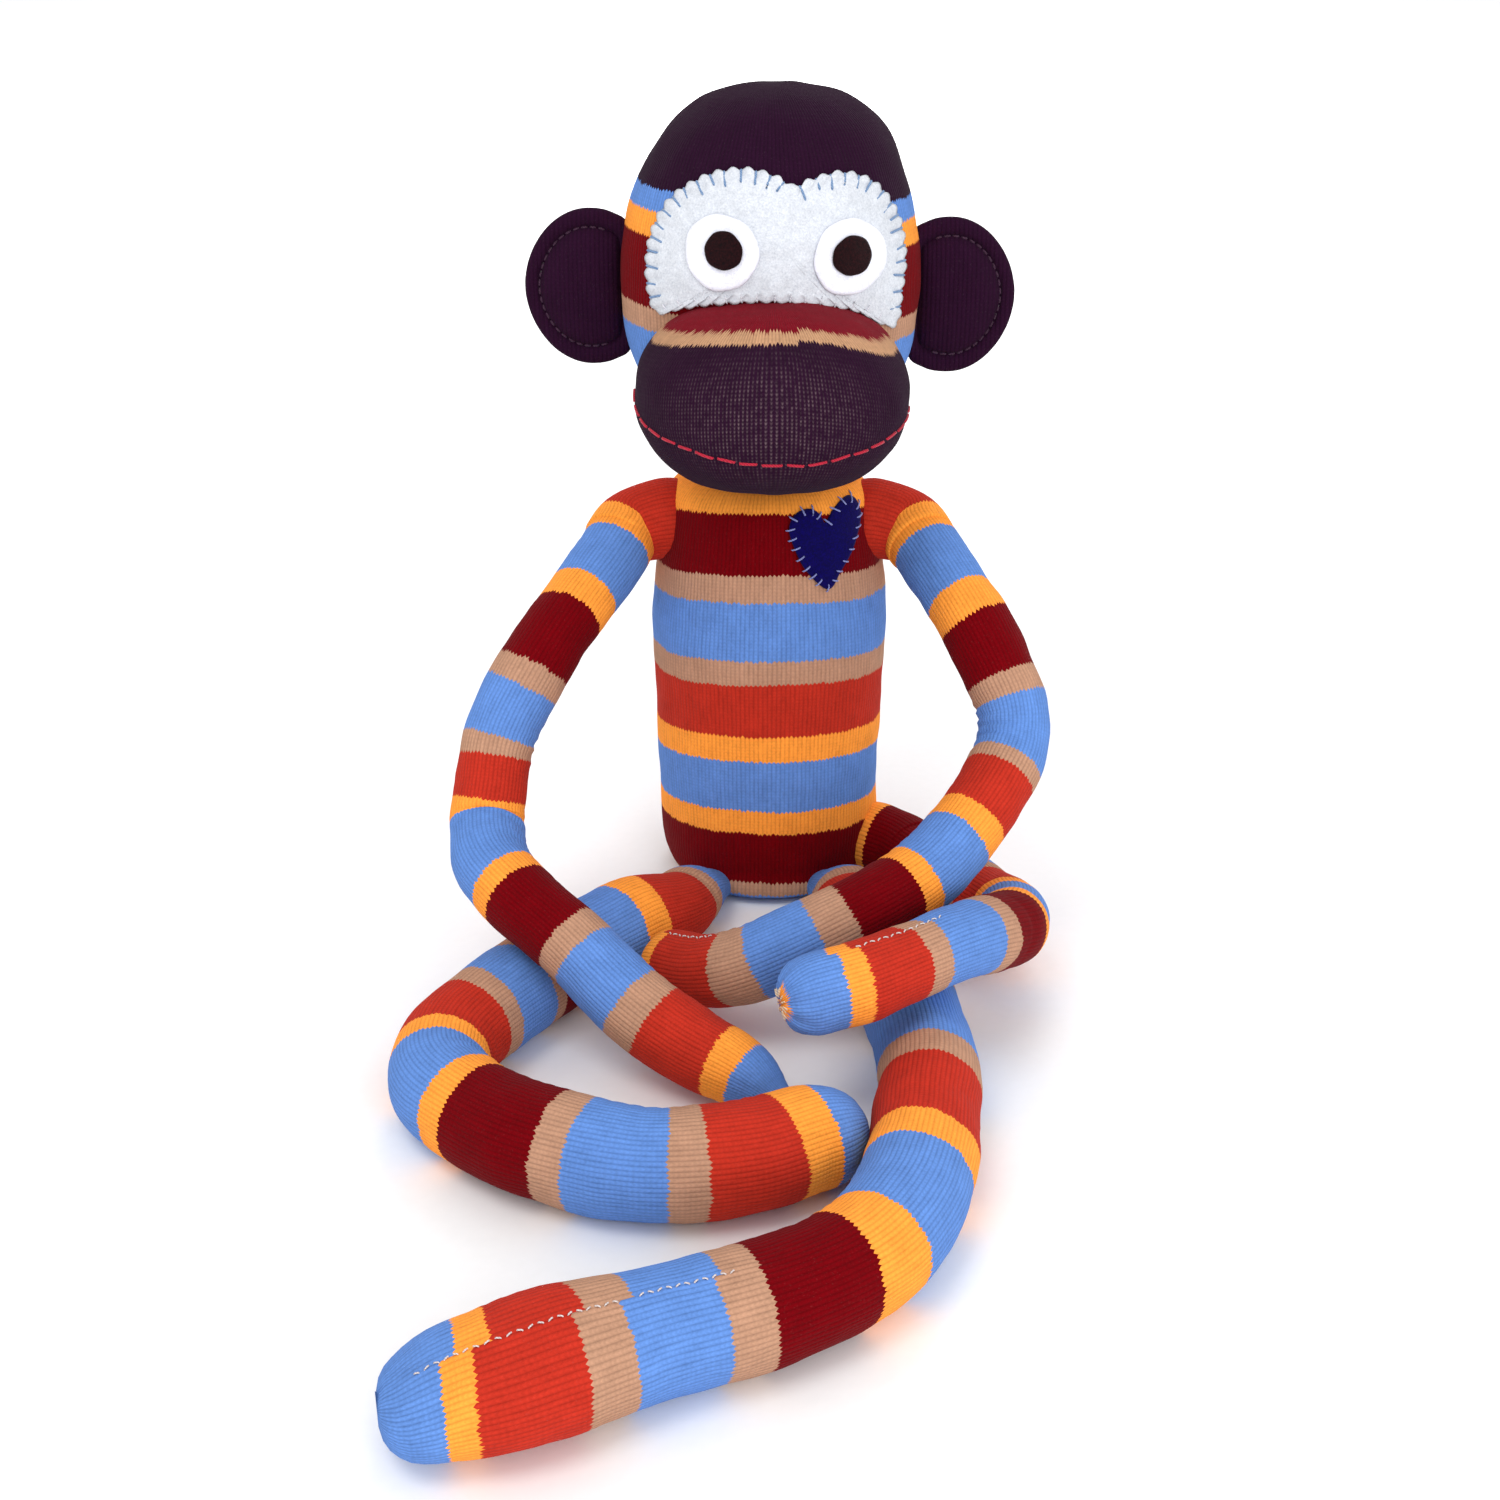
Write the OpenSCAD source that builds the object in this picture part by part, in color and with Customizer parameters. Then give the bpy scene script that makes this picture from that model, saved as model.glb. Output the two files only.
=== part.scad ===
// Stuffed sock monkey, seated: an assembly of stuffed striped knit tubes, felt trim and sewing thread.
// Millimetres, +Z up, the face looks along -Y. The origin is on the floor under the middle of the seat.
// "left" is the -X side and "right" is the +X side, as seen from the front.

/* [Cloth] */
// Thickness of the stretched knit
wall = 1.2; // [0.8:0.1:2]
// Thickness of the felt patches
felt = 1.2; // [0.8:0.1:2]
// Air left between neighbouring layers
gap = 0.3; // [0.3:0.05:0.5]

/* [Torso] */
// Widest radius of the stuffed torso
torso_r = 44; // [40:0.5:48]
// Height of the torso from the seat to the neck
torso_h = 157; // [150:1:165]

/* [Head] */
// Widest radius of the head
head_r = 51.5; // [48:0.5:55]
// Height of the neck gather, where the head starts
head_z = 160; // [160:1:168]
// Height of the head from the neck to the crown
head_h = 130; // [120:1:140]

/* [Muzzle] */
// Half the width of the muzzle
muzzle_x = 45.5; // [40:0.5:48]
// How far the muzzle ellipsoid reaches forward of its middle
muzzle_y = 46; // [36:1:50]
// Half the height of the muzzle
muzzle_z = 31; // [26:1:34]

/* [Limbs] */
// Radius of the stuffed legs
leg_r = 16; // [14:0.5:16]
// Radius of the stuffed arms
arm_r = 12.5; // [11:0.5:12.5]
// Radius of the stuffed tail
tail_r = 13; // [11:0.5:13]

/* [Felt] */
// Radius of the white eye discs
eye_r = 11.5; // [9:0.5:12]
// Radius of the pupils
pupil_r = 6.2; // [4:0.2:7]

/* [Hidden] */
sides = 16;
muzzle_at = [0.5, -48, 195];
torso_outline = [[0, 0], [30, 0], [37, 4], [40.5, 14], [41, 40], [42.5, 70], [torso_r, 100], [41, 122],
  [38.8, 135], [37.6, 146], [35.2, 151.5], [30, 155.8], [22, torso_h], [0, torso_h]];
head_outline = [[0, 0], [14, 3], [24, 12], [34, 18], [43, 28], [48.5, 42], [head_r, 60], [50.5, 78],
  [46, 97], [37, 114], [24, 125], [10, head_h - 0.6], [0, head_h]];
patch_outline = [[-38, 221], [-41, 232], [-39, 246], [-32, 258], [-20, 266], [-8, 268], [2, 266], [7, 264],
  [13, 267], [24, 269], [35, 264], [42, 252], [44, 238], [43, 226], [41, 217], [28, 223], [12, 227],
  [-4, 228], [-20, 226.5], [-30, 224]];
heart_outline = [[0, -15], [-8, -7], [-12.3, 2], [-13.6, 8], [-11.4, 12.3], [-7, 13.6], [-3.5, 11.9], [-1.3, 8.4],
  [1.8, 12.3], [6.2, 15], [10, 12.8], [11.4, 7], [8.8, -2.6], [4.4, -9.7]];
heart_at = [20, 0, 138];

// Limb centre lines: x, y, z and radius
left_thigh_line = [[-28.5, -50.2, 16, leg_r], [-36, -69, 16, leg_r], [-52, -88, 16, leg_r],
  [-72, -113, 16, leg_r], [-89, -137, 16, leg_r], [-101.3, -156.5, 16, leg_r]];
left_shin_line = [[-106, -172, 16, leg_r], [-103, -190, 16, leg_r], [-88.5, -206, 16, leg_r],
  [-66, -221, 16.3, leg_r], [-38, -231, 16.3, leg_r], [-9, -228, 16.1, leg_r], [10.5, -218, 16, leg_r - 0.5]];
right_thigh_line = [[28.5, -50.2, 16, leg_r], [34, -80, 16, leg_r], [40, -115, 16, leg_r],
  [46, -155, 16, leg_r], [47.5, -185, 16, leg_r], [44.4, -209.7, 16, leg_r]];
right_shin_line = [[42, -226, 16, leg_r], [35, -252, 16, leg_r], [21, -275, 16, leg_r], [-4, -292, 16.2, leg_r],
  [-38, -307, 17, leg_r + 0.7], [-64, -319, 18, leg_r + 1.7], [-81, -323, 18, leg_r + 1]];
left_arm_line = [[-51, -8, 137, arm_r], [-58, -26, 129, arm_r], [-70, -50, 118, arm_r],
  [-81, -66, 104, arm_r], [-92, -78, 85, arm_r], [-94.8, -86.7, 69, arm_r]];
left_forearm_line = [[-96, -94, 58, arm_r], [-93, -111, 52, arm_r], [-81, -127, 46.8, arm_r],
  [-64, -142, 39, arm_r], [-45, -158, 27, arm_r], [-27, -168, 18, arm_r], [-10, -178, 13.5, arm_r - 1.5],
  [0, -185, 9.5, 6.5], [5, -188, 8, 3.5]];
right_arm_line = [[51, -8, 137, arm_r], [58, -22, 130, arm_r], [70, -45, 116, arm_r],
  [80, -56, 99, arm_r], [84.5, -62, 89, arm_r], [84.5, -67, 79.5, arm_r]];
right_forearm_line = [[80, -76, 71, arm_r], [66, -95, 58, arm_r], [49, -115, 48.6, arm_r],
  [24, -133, 42, arm_r], [-4, -138, 30, arm_r], [-20, -129, 21.5, arm_r], [-32, -117, 17, arm_r - 0.5]];
tail_root_line = [[51, -20, 13.5, tail_r], [62, -38, 14, tail_r], [74, -62, 16, tail_r],
  [82, -92, 23, tail_r], [79, -119, 32, tail_r], [72.6, -131, 36.8, tail_r]];
tail_end_line = [[66, -142, 41.5, tail_r], [54, -158, 46.5, tail_r], [39, -172, 48, tail_r],
  [25, -182, 47.5, tail_r], [12, -186.5, 46, tail_r - 0.5]];

function unit(v) = v / norm(v);
function place(p) = [p.x, p.y, p.z];
function blend(a, b, c, d, t) =
  0.5 * (2 * b + (c - a) * t + (2 * a - 5 * b + 4 * c - d) * t * t + (3 * b - a - 3 * c + d) * t * t * t);
// The line with one more point between each two, on a smooth curve
function smooth(l) = [for (i = [0:len(l) - 2]) for (t = [0, 0.5])
  blend(l[max(i - 1, 0)], l[i], l[i + 1], l[min(i + 2, len(l) - 1)], t), l[len(l) - 1]];
function heading(l, i) = unit(place(l[min(i + 1, len(l) - 1)]) - place(l[max(i - 1, 0)]));
// Rings: centre, direction and radius, with a round end where asked
function rings(l, inset, round_start, round_end) =
  let (n = len(l) - 1, a = heading(l, 0), b = heading(l, n), ra = l[0][3] - inset, rb = l[n][3] - inset)
  concat(
    round_start ? [for (q = [22, 45, 70]) [place(l[0]) - a * ra * cos(q), a, ra * sin(q)]] : [],
    [for (i = [0:n]) [place(l[i]), heading(l, i), l[i][3] - inset]],
    round_end ? [for (q = [70, 45, 22]) [place(l[n]) + b * rb * cos(q), b, rb * sin(q)]] : []);
function ring_points(r, up) = let (s = unit(cross(r[1], up)), u = cross(s, r[1]))
  [for (k = [0:sides - 1]) r[0] + r[2] * (s * cos(360 * k / sides) + u * sin(360 * k / sides))];
// Quads between rings i and i + 1 of a tube whose first point has the number base
function walls(n, base, inward) = [for (i = [0:n - 2]) for (k = [0:sides - 1])
  let (a = base + i * sides, m = (k + 1) % sides, c = [a + k, a + sides + k, a + sides + m], d = [a + k, a + sides + m, a + m])
  each inward ? [[c[2], c[1], c[0]], [d[2], d[1], d[0]]] : [c, d]];
function fan(centre, base, inward) = [for (k = [0:sides - 1]) let (m = (k + 1) % sides)
  inward ? [centre, base + m, base + k] : [centre, base + k, base + m]];
function rim(a, b) = [for (k = [0:sides - 1]) let (m = (k + 1) % sides)
  each [[a + k, a + m, b + m], [a + k, b + m, b + k]]];
function pole(l, inset, i, side) = place(l[i]) + side * heading(l, i) * (l[i][3] - inset);

// The stuffing of a tube: one closed solid, inset from the line's full radius
// A line of the same course that stops short of its last point
function shortened(line, by) = let (n = len(line), d = unit(place(line[n - 2]) - place(line[n - 1])))
  concat([for (i = [0:n - 2]) line[i]], [[for (k = [0:len(line[n - 1]) - 1])
    k < 3 ? line[n - 1][k] + by * d[k] : line[n - 1][k]]]);

module filling(line, round_start = true, round_end = true, up = [0, 0, 1]) {
  inset = wall + gap;
  l = smooth(round_end ? line : shortened(line, 5));
  r = rings(l, inset, round_start, round_end);
  n = len(r);
  first = round_start ? pole(l, inset, 0, -1) : r[0][0];
  last = round_end ? pole(l, inset, len(l) - 1, 1) : r[n - 1][0];
  points = concat([first, last], [for (q = r) each ring_points(q, up)]);
  faces = concat(fan(0, 2, true), walls(n, 2, true), fan(1, 2 + (n - 1) * sides, false));
  polyhedron(points, faces);
}

// The knitted tube: open where it was stuffed and sewn on, and closed at a round far end
module cover(line, round_start = true, round_end = true, up = [0, 0, 1]) {
  l = smooth(line);
  outer = rings(l, 0, round_start, round_end);
  inner = rings(l, wall, round_start, round_end);
  n = len(outer);
  other = 2 + n * sides;
  far = 2 + (n - 1) * sides;
  far_in = other + (n - 1) * sides;
  points = concat([pole(l, 0, len(l) - 1, 1), pole(l, wall, len(l) - 1, 1)],
    [for (q = outer) each ring_points(q, up)], [for (q = inner) each ring_points(q, up)]);
  closed = concat(fan(0, far, false), fan(1, far_in, true));
  faces = concat(walls(n, 2, true), walls(n, other, false), rim(other, 2), round_end ? closed : rim(far, far_in));
  polyhedron(points, faces);
}

module torso_form(grow = 0) {
  rotate_extrude($fn = 64)
    polygon([for (p = torso_outline) [p.x == 0 ? 0 : p.x + grow, p.y < 1 ? -grow : p.y > 153 ? p.y + grow : p.y]]);
}

module head_form(grow = 0) {
  translate([0, 0, head_z])
    rotate_extrude($fn = 64)
      polygon([for (p = head_outline) [p.x == 0 ? 0 : p.x + grow, p.y < 20 ? p.y - grow : p.y > 110 ? p.y + grow : p.y]]);
}

module front_cut(outline) {
  rotate([90, 0, 0])
    linear_extrude(120)
      polygon(outline);
}

module face_layer(low, high) {
  intersection() {
    difference() {
      head_form(high);
      head_form(low);
    }
    children();
  }
}

module chest_layer(low, high) {
  intersection() {
    difference() {
      torso_form(high);
      torso_form(low);
    }
    children();
  }
}

module muzzle_form(grow = 0) {
  translate(muzzle_at)
    scale([muzzle_x + grow, muzzle_y + grow, muzzle_z + grow])
      sphere(1, $fn = 36);
}

function muzzle_front(x, z) =
  muzzle_at.y - muzzle_y * sqrt(max(0, 1 - pow((x - muzzle_at.x) / muzzle_x, 2) - pow((z - muzzle_at.z) / muzzle_z, 2)));

module bar(a, b, r) {
  d = b - a;
  translate(a)
    rotate([0, acos(d.z / norm(d)), atan2(d.y, d.x)])
      cylinder(norm(d), r, r, $fn = 16);
}

// Half the thickness of a padded ear at a place in its outline
function ear_half(x, z) = 4.6 * sqrt(max(0.05, 1 - pow((x - 57) / 28.5, 2) - pow(z / 27, 2)));
// Cross sections of an ear from its root outward: distance from the middle plane and half height
ear_sections = [[54.5, 27], [61, 26.8], [68, 25], [74.5, 21.2], [80, 15.6], [83.5, 9.8], [85.2, 4]];

function ear_ring(side, middle, x, height, half, inset) =
  [for (k = [0:sides - 1]) [side * x, (half - inset) * cos(360 * k / sides),
    middle + (height - inset) * sin(360 * k / sides)]];
function ear_rings(side, middle, inset) = [for (e = ear_sections)
  each ear_ring(side, middle, e.x, e.y, 0.17 * e.y + 0.2 + wall, min(inset, 0.9 * e.y))];

// The two layers of the ear as one piece, open along its root
module ear_cover(side, middle) {
  n = len(ear_sections);
  points = concat([[side * 85.5, 0, middle], [side * (85.2 - wall), 0, middle]],
    ear_rings(side, middle, 0), [for (p = ear_rings(side, middle, wall)) [p.x - (abs(p.x) > 60 ? side * wall : 0), p.y, p.z]]);
  other = 2 + n * sides;
  far = 2 + (n - 1) * sides;
  far_in = other + (n - 1) * sides;
  f = concat(walls(n, 2, side > 0), walls(n, other, side < 0), side > 0 ? rim(other, 2) : rim(2, other),
    fan(0, far, side < 0), fan(1, far_in, side > 0));
  polyhedron(points, f);
}

module ear_padding(side, middle) {
  n = len(ear_sections);
  points = concat([[side * 54.5, 0, middle], [side * (85.2 - wall - gap), 0, middle]],
    [for (p = ear_rings(side, middle, wall + gap)) [p.x - (abs(p.x) > 60 ? side * (wall + gap) : 0), p.y, p.z]]);
  far = 2 + (n - 1) * sides;
  polyhedron(points, concat(fan(0, 2, side > 0), walls(n, 2, side > 0), fan(1, far, side < 0)));
}

// A line of stitches parallel to the ear's edge, on its front and its back
module ear_topstitch(side, middle) {
  turns = [for (q = [-88:16:88]) q];
  for (face = [-1, 1])
    for (i = [0:len(turns) - 2]) {
      a = [57 + 20 * cos(turns[i] + 2), 20.5 * sin(turns[i] + 2)];
      b = [57 + 20 * cos(turns[i + 1] - 2), 20.5 * sin(turns[i + 1] - 2)];
      bar([side * a.x, face * (ear_half(a.x, a.y) + 2.6), middle + a.y],
        [side * b.x, face * (ear_half(b.x, b.y) + 2.6), middle + b.y], 0.4);
    }
}

module torso_cover() {
  color("#6a8ee0")
    difference() {
      torso_form();
      torso_form(-wall);
      translate([0, 0, 150])
        cylinder(20, 14, 14, $fn = 48);
    }
}

module torso_stuffing() {
  color("#f0ede4")
    torso_form(-wall - gap);
}

module heart_patch() {
  color("#1c0a80")
    chest_layer(gap, gap + felt)
      front_cut([for (p = heart_outline) [p.x + heart_at.x, p.y + heart_at.z]]);
}

module heart_stitching() {
  color("#8c92d4")
    chest_layer(2 * gap + felt, 2 * gap + felt + 0.7)
      difference() {
        front_cut([for (p = heart_outline) [p.x + heart_at.x, p.y + heart_at.z]]);
        translate([0, 1, 0])
          scale([1, 1.1, 1])
            front_cut([for (p = heart_outline) [0.8 * p.x + heart_at.x, 0.8 * p.y + heart_at.z]]);
      }
}

module neck_thread() {
  color("#c9b48c")
    translate([0, 0, 158.7])
      rotate_extrude($fn = 48)
        translate([18.4, 0])
          circle(0.8, $fn = 16);
}

module neck_stuffing() {
  color("#f0ede4")
    translate([0, 0, 157.5])
      cylinder(2, 17, 17, $fn = 48);
}

module head_cover() {
  color("#7a0612")
    difference() {
      head_form();
      head_form(-wall);
      translate([0, 0, 155])
        cylinder(12, 10, 10, $fn = 48);
    }
}

module head_stuffing() {
  color("#f0ede4")
    head_form(-wall - gap);
}

module muzzle_cover() {
  color("#8c1420")
    difference() {
      muzzle_form();
      muzzle_form(-wall);
      head_form(gap);
    }
}

module muzzle_stuffing() {
  color("#f0ede4")
    difference() {
      muzzle_form(-wall - gap);
      head_form(gap);
    }
}

module mouth_stitching() {
  xs = [-39, -33, -26, -17.5, -8.5, 0.5, 9.5, 18.5, 27, 34, 39.5];
  zs = [189, 187.2, 185.8, 184.5, 183.5, 183, 183.2, 184.2, 186, 187.8, 190];
  at = [for (i = [0:len(xs) - 1]) [xs[i], muzzle_front(xs[i], zs[i]) - 1.9, zs[i]]];
  color("#c8143c")
    for (i = [0:len(xs) - 2])
      bar(at[i] + 0.08 * (at[i + 1] - at[i]), at[i + 1] - 0.08 * (at[i + 1] - at[i]), 0.6);
}

module eye_patch() {
  color("#eef4f8")
    difference() {
      face_layer(gap, gap + felt)
        front_cut(patch_outline);
      muzzle_form(gap);
    }
}

module eye_patch_stitching() {
  color("#8094c0")
    difference() {
      face_layer(2 * gap + felt, 2 * gap + felt + 0.6)
        difference() {
          front_cut(patch_outline);
          front_cut([for (p = patch_outline) [1.6 + 0.94 * (p.x - 1.6), 243 + 0.9 * (p.y - 243)]]);
        }
      muzzle_form(gap);
    }
}

module eye_disc(x, z) {
  face_layer(3 * gap + felt, 3 * gap + 2 * felt)
    translate([x, 0, z])
      rotate([90, 0, 0])
        cylinder(90, eye_r, eye_r, $fn = 48);
}

module pupil_disc(x, z) {
  face_layer(4 * gap + 2 * felt, 4 * gap + 3 * felt)
    translate([x, 0, z])
      rotate([90, 0, 0])
        cylinder(90, pupil_r, pupil_r, $fn = 32);
}

module left_eye_white() {
  color("#f4f4ff")
    eye_disc(-15.5, 241);
}

module right_eye_white() {
  color("#f4f4ff")
    eye_disc(24.5, 239);
}

module left_pupil() {
  color("#1e0508")
    pupil_disc(-15.5, 243);
}

module right_pupil() {
  color("#1e0508")
    pupil_disc(25.5, 240);
}

module left_ear_cover() {
  color("#2c0c22")
    ear_cover(-1, 222);
}

module left_ear_padding() {
  color("#f0ede4")
    ear_padding(-1, 222);
}

module left_ear_topstitch() {
  color("#4a2a44")
    ear_topstitch(-1, 222);
}

module right_ear_cover() {
  color("#2c0c22")
    ear_cover(1, 219);
}

module right_ear_padding() {
  color("#f0ede4")
    ear_padding(1, 219);
}

module right_ear_topstitch() {
  color("#4a2a44")
    ear_topstitch(1, 219);
}

module left_arm_cover() {
  color("#c83020")
    cover(left_arm_line, true, false, [0, 1, -1]);
}

module left_arm_stuffing() {
  color("#f0ede4")
    filling(left_arm_line, true, false, [0, 1, -1]);
}

module left_forearm_cover() {
  color("#6a8ee0")
    cover(left_forearm_line, true, true, [0, 1, -1]);
}

module left_forearm_stuffing() {
  color("#f0ede4")
    filling(left_forearm_line, true, true, [0, 1, -1]);
}

module right_arm_cover() {
  color("#c83020")
    cover(right_arm_line, true, false, [0, 1, -1]);
}

module right_arm_stuffing() {
  color("#f0ede4")
    filling(right_arm_line, true, false, [0, 1, -1]);
}

module right_forearm_cover() {
  color("#6a8ee0")
    cover(right_forearm_line, true, true, [0, 1, -1]);
}

module right_forearm_stuffing() {
  color("#f0ede4")
    filling(right_forearm_line, true, true, [0, 1, -1]);
}

module left_thigh_cover() {
  color("#f99a35")
    cover(left_thigh_line, true, false);
}

module left_thigh_stuffing() {
  color("#f0ede4")
    filling(left_thigh_line, true, false);
}

module left_shin_cover() {
  color("#6a8ee0")
    cover(left_shin_line);
}

module left_shin_stuffing() {
  color("#f0ede4")
    filling(left_shin_line);
}

module right_thigh_cover() {
  color("#f99a35")
    cover(right_thigh_line, true, false);
}

module right_thigh_stuffing() {
  color("#f0ede4")
    filling(right_thigh_line, true, false);
}

module right_shin_cover() {
  color("#6a8ee0")
    cover(right_shin_line);
}

module right_shin_stuffing() {
  color("#f0ede4")
    filling(right_shin_line);
}

module tail_root_cover() {
  color("#7a0612")
    cover(tail_root_line, true, false);
}

module tail_root_stuffing() {
  color("#f0ede4")
    filling(tail_root_line, true, false);
}

module tail_end_cover() {
  color("#6a8ee0")
    cover(tail_end_line);
}

module tail_end_stuffing() {
  color("#f0ede4")
    filling(tail_end_line);
}

torso_cover();
torso_stuffing();
heart_patch();
heart_stitching();
neck_thread();
neck_stuffing();
head_cover();
head_stuffing();
muzzle_cover();
muzzle_stuffing();
mouth_stitching();
eye_patch();
eye_patch_stitching();
left_eye_white();
right_eye_white();
left_pupil();
right_pupil();
left_ear_cover();
left_ear_padding();
left_ear_topstitch();
right_ear_cover();
right_ear_padding();
right_ear_topstitch();
left_arm_cover();
left_arm_stuffing();
left_forearm_cover();
left_forearm_stuffing();
right_arm_cover();
right_arm_stuffing();
right_forearm_cover();
right_forearm_stuffing();
left_thigh_cover();
left_thigh_stuffing();
left_shin_cover();
left_shin_stuffing();
right_thigh_cover();
right_thigh_stuffing();
right_shin_cover();
right_shin_stuffing();
tail_root_cover();
tail_root_stuffing();
tail_end_cover();
tail_end_stuffing();
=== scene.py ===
import math
import bpy
import numpy as np
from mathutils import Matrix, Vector, noise
from mathutils.bvhtree import BVHTree


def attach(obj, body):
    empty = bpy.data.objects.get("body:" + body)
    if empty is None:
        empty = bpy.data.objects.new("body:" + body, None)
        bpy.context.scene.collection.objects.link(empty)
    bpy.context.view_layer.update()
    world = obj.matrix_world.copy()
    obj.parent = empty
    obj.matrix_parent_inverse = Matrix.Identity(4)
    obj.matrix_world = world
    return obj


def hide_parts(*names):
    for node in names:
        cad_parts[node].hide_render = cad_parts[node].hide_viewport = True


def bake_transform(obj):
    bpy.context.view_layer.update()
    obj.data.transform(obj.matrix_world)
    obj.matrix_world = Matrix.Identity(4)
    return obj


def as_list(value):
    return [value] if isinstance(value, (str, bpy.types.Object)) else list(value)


# A seated toy sewn from two striped socks: knitted tubes, felt face and heart, hand stitches.
# "left" and "right" are as seen from the front. Lengths below are in millimetres unless they say metres.
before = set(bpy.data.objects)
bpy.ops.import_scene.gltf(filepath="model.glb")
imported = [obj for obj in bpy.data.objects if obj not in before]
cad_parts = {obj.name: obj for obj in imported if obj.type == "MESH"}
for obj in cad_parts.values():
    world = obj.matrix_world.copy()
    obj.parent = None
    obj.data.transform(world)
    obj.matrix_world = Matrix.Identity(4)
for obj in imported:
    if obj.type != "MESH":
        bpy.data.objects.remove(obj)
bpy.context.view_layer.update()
scene = bpy.context.scene
MM = 0.001
COURSE = 1.25                   # between two courses of the knit
FOLD, FOLD_PITCH = 0.42, 6.2    # deepest fold inside a bend, and the distance between folds
SETTLE = 0.15                   # how far above the floor a resting limb stays
EAR_GROOVE = 0.762              # place of the ear's groove, from its middle (0) to its edge (1)
EAR_HEIGHT = {"left": 222, "right": 219}
LIMB_WALES, LEG_WALES, TAIL_WALES = 54, 68, 56
HIP_SLACK = (0.76, 42)          # the thighs start flatter, for this far
PATCH_STITCH, HEART_STITCHES = 5.0, 24
CURVE_LENGTH, CURVE_AREA = 1.04, 1.05    # felt laid over a curve is larger than its outline from straight ahead
FLOOR_WIDTH, FLOOR_CELLS = 24000, 24
CAMERA_DOWN = 23                # degrees


# ---------------------------------------------------------------- colours and node graphs

def lin(text):
    """A colour written as six hex digits, as linear red, green and blue."""
    out = []
    for i in (0, 2, 4):
        v = int(text[i:i + 2], 16) / 255
        out.append(v / 12.92 if v <= 0.04045 else ((v + 0.055) / 1.055) ** 2.4)
    return tuple(out) + (1.0,)


YARN = {
    "aubergine": lin("260b23"), "maroon": lin("6c0008"), "red": lin("b92f20"), "orange": lin("fd9c3c"),
    "blue": lin("5f88cd"), "tan": lin("b68a70"), "muzzle_red": lin("76081a"), "muzzle_tan": lin("ba8e6c"),
}


class Graph:
    """A material's nodes, written as small sums."""

    def __init__(self, name, roughness=0.9, sheen=0.25, specular=0.2):
        self.mat = bpy.data.materials.new(name)
        self.mat.use_nodes = True
        self.tree = self.mat.node_tree
        self.tree.nodes.clear()
        self.shader = self.new("ShaderNodeBsdfPrincipled")
        out = self.new("ShaderNodeOutputMaterial")
        self.tree.links.new(self.shader.outputs[0], out.inputs[0])
        self.shader.inputs["Roughness"].default_value = roughness
        self.shader.inputs["Sheen Weight"].default_value = sheen
        self.shader.inputs["Sheen Roughness"].default_value = 0.45
        self.shader.inputs["Sheen Tint"].default_value = (1, 1, 1, 1)
        self.shader.inputs["Specular IOR Level"].default_value = specular

    def new(self, kind):
        return self.tree.nodes.new(kind)

    def put(self, socket, value):
        if isinstance(value, bpy.types.NodeSocket):
            self.tree.links.new(value, socket)
        else:
            socket.default_value = value

    def math(self, op, a, b=0.0, c=0.0, clamp=False):
        n = self.new("ShaderNodeMath")
        n.operation = op
        n.use_clamp = clamp
        self.put(n.inputs[0], a)
        self.put(n.inputs[1], b)
        self.put(n.inputs[2], c)
        return n.outputs[0]

    def split(self, vector):
        n = self.new("ShaderNodeSeparateXYZ")
        self.put(n.inputs[0], vector)
        return n.outputs

    def join(self, x, y, z):
        n = self.new("ShaderNodeCombineXYZ")
        for s, v in zip(n.inputs, (x, y, z)):
            self.put(s, v)
        return n.outputs[0]

    def uv(self):
        n = self.new("ShaderNodeUVMap")
        n.uv_map = "knit"
        return n.outputs[0]

    def place(self):
        return self.new("ShaderNodeTexCoord").outputs["Object"]

    def noise(self, vector, scale, detail=2.0, rough=0.5):
        n = self.new("ShaderNodeTexNoise")
        self.put(n.inputs["Vector"], vector)
        n.inputs["Scale"].default_value = scale
        n.inputs["Detail"].default_value = detail
        n.inputs["Roughness"].default_value = rough
        return n.outputs["Fac"]

    def band(self, value, lo, hi, to_lo, to_hi):
        n = self.new("ShaderNodeMapRange")
        for s, v in zip(n.inputs, (value, lo, hi, to_lo, to_hi)):
            self.put(s, v)
        return n.outputs[0]

    def steps(self, fac, stops):
        """Bands of one colour each, with hard edges"""
        n = self.new("ShaderNodeValToRGB")
        n.color_ramp.interpolation = "CONSTANT"
        e = n.color_ramp.elements
        while len(e) > 1:
            e.remove(e[-1])
        e[0].position, e[0].color = stops[0]
        for p, c in stops[1:]:
            x = e.new(p)
            x.color = c
        self.put(n.inputs[0], fac)
        return n.outputs[0]

    def mix(self, fac, a, b, how="MIX"):
        n = self.new("ShaderNodeMix")
        n.data_type = "RGBA"
        n.blend_type = how
        self.put(n.inputs[0], fac)
        self.put(n.inputs[6], a)
        self.put(n.inputs[7], b)
        return n.outputs[2]

    def shade(self, colour, factor):
        """colour times a grey factor"""
        return self.mix(1.0, colour, self.join(factor, factor, factor), "MULTIPLY")

    def bump(self, height, strength, distance, under=None):
        n = self.new("ShaderNodeBump")
        n.inputs["Strength"].default_value = strength
        n.inputs["Distance"].default_value = distance
        self.put(n.inputs["Height"], height)
        if under is not None:
            self.put(n.inputs["Normal"], under)
        return n.outputs[0]

    def done(self, colour, roughness, normal):
        self.put(self.shader.inputs["Base Color"], colour)
        self.put(self.shader.inputs["Roughness"], roughness)
        self.put(self.shader.inputs["Normal"], normal)
        return self.mat


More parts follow.
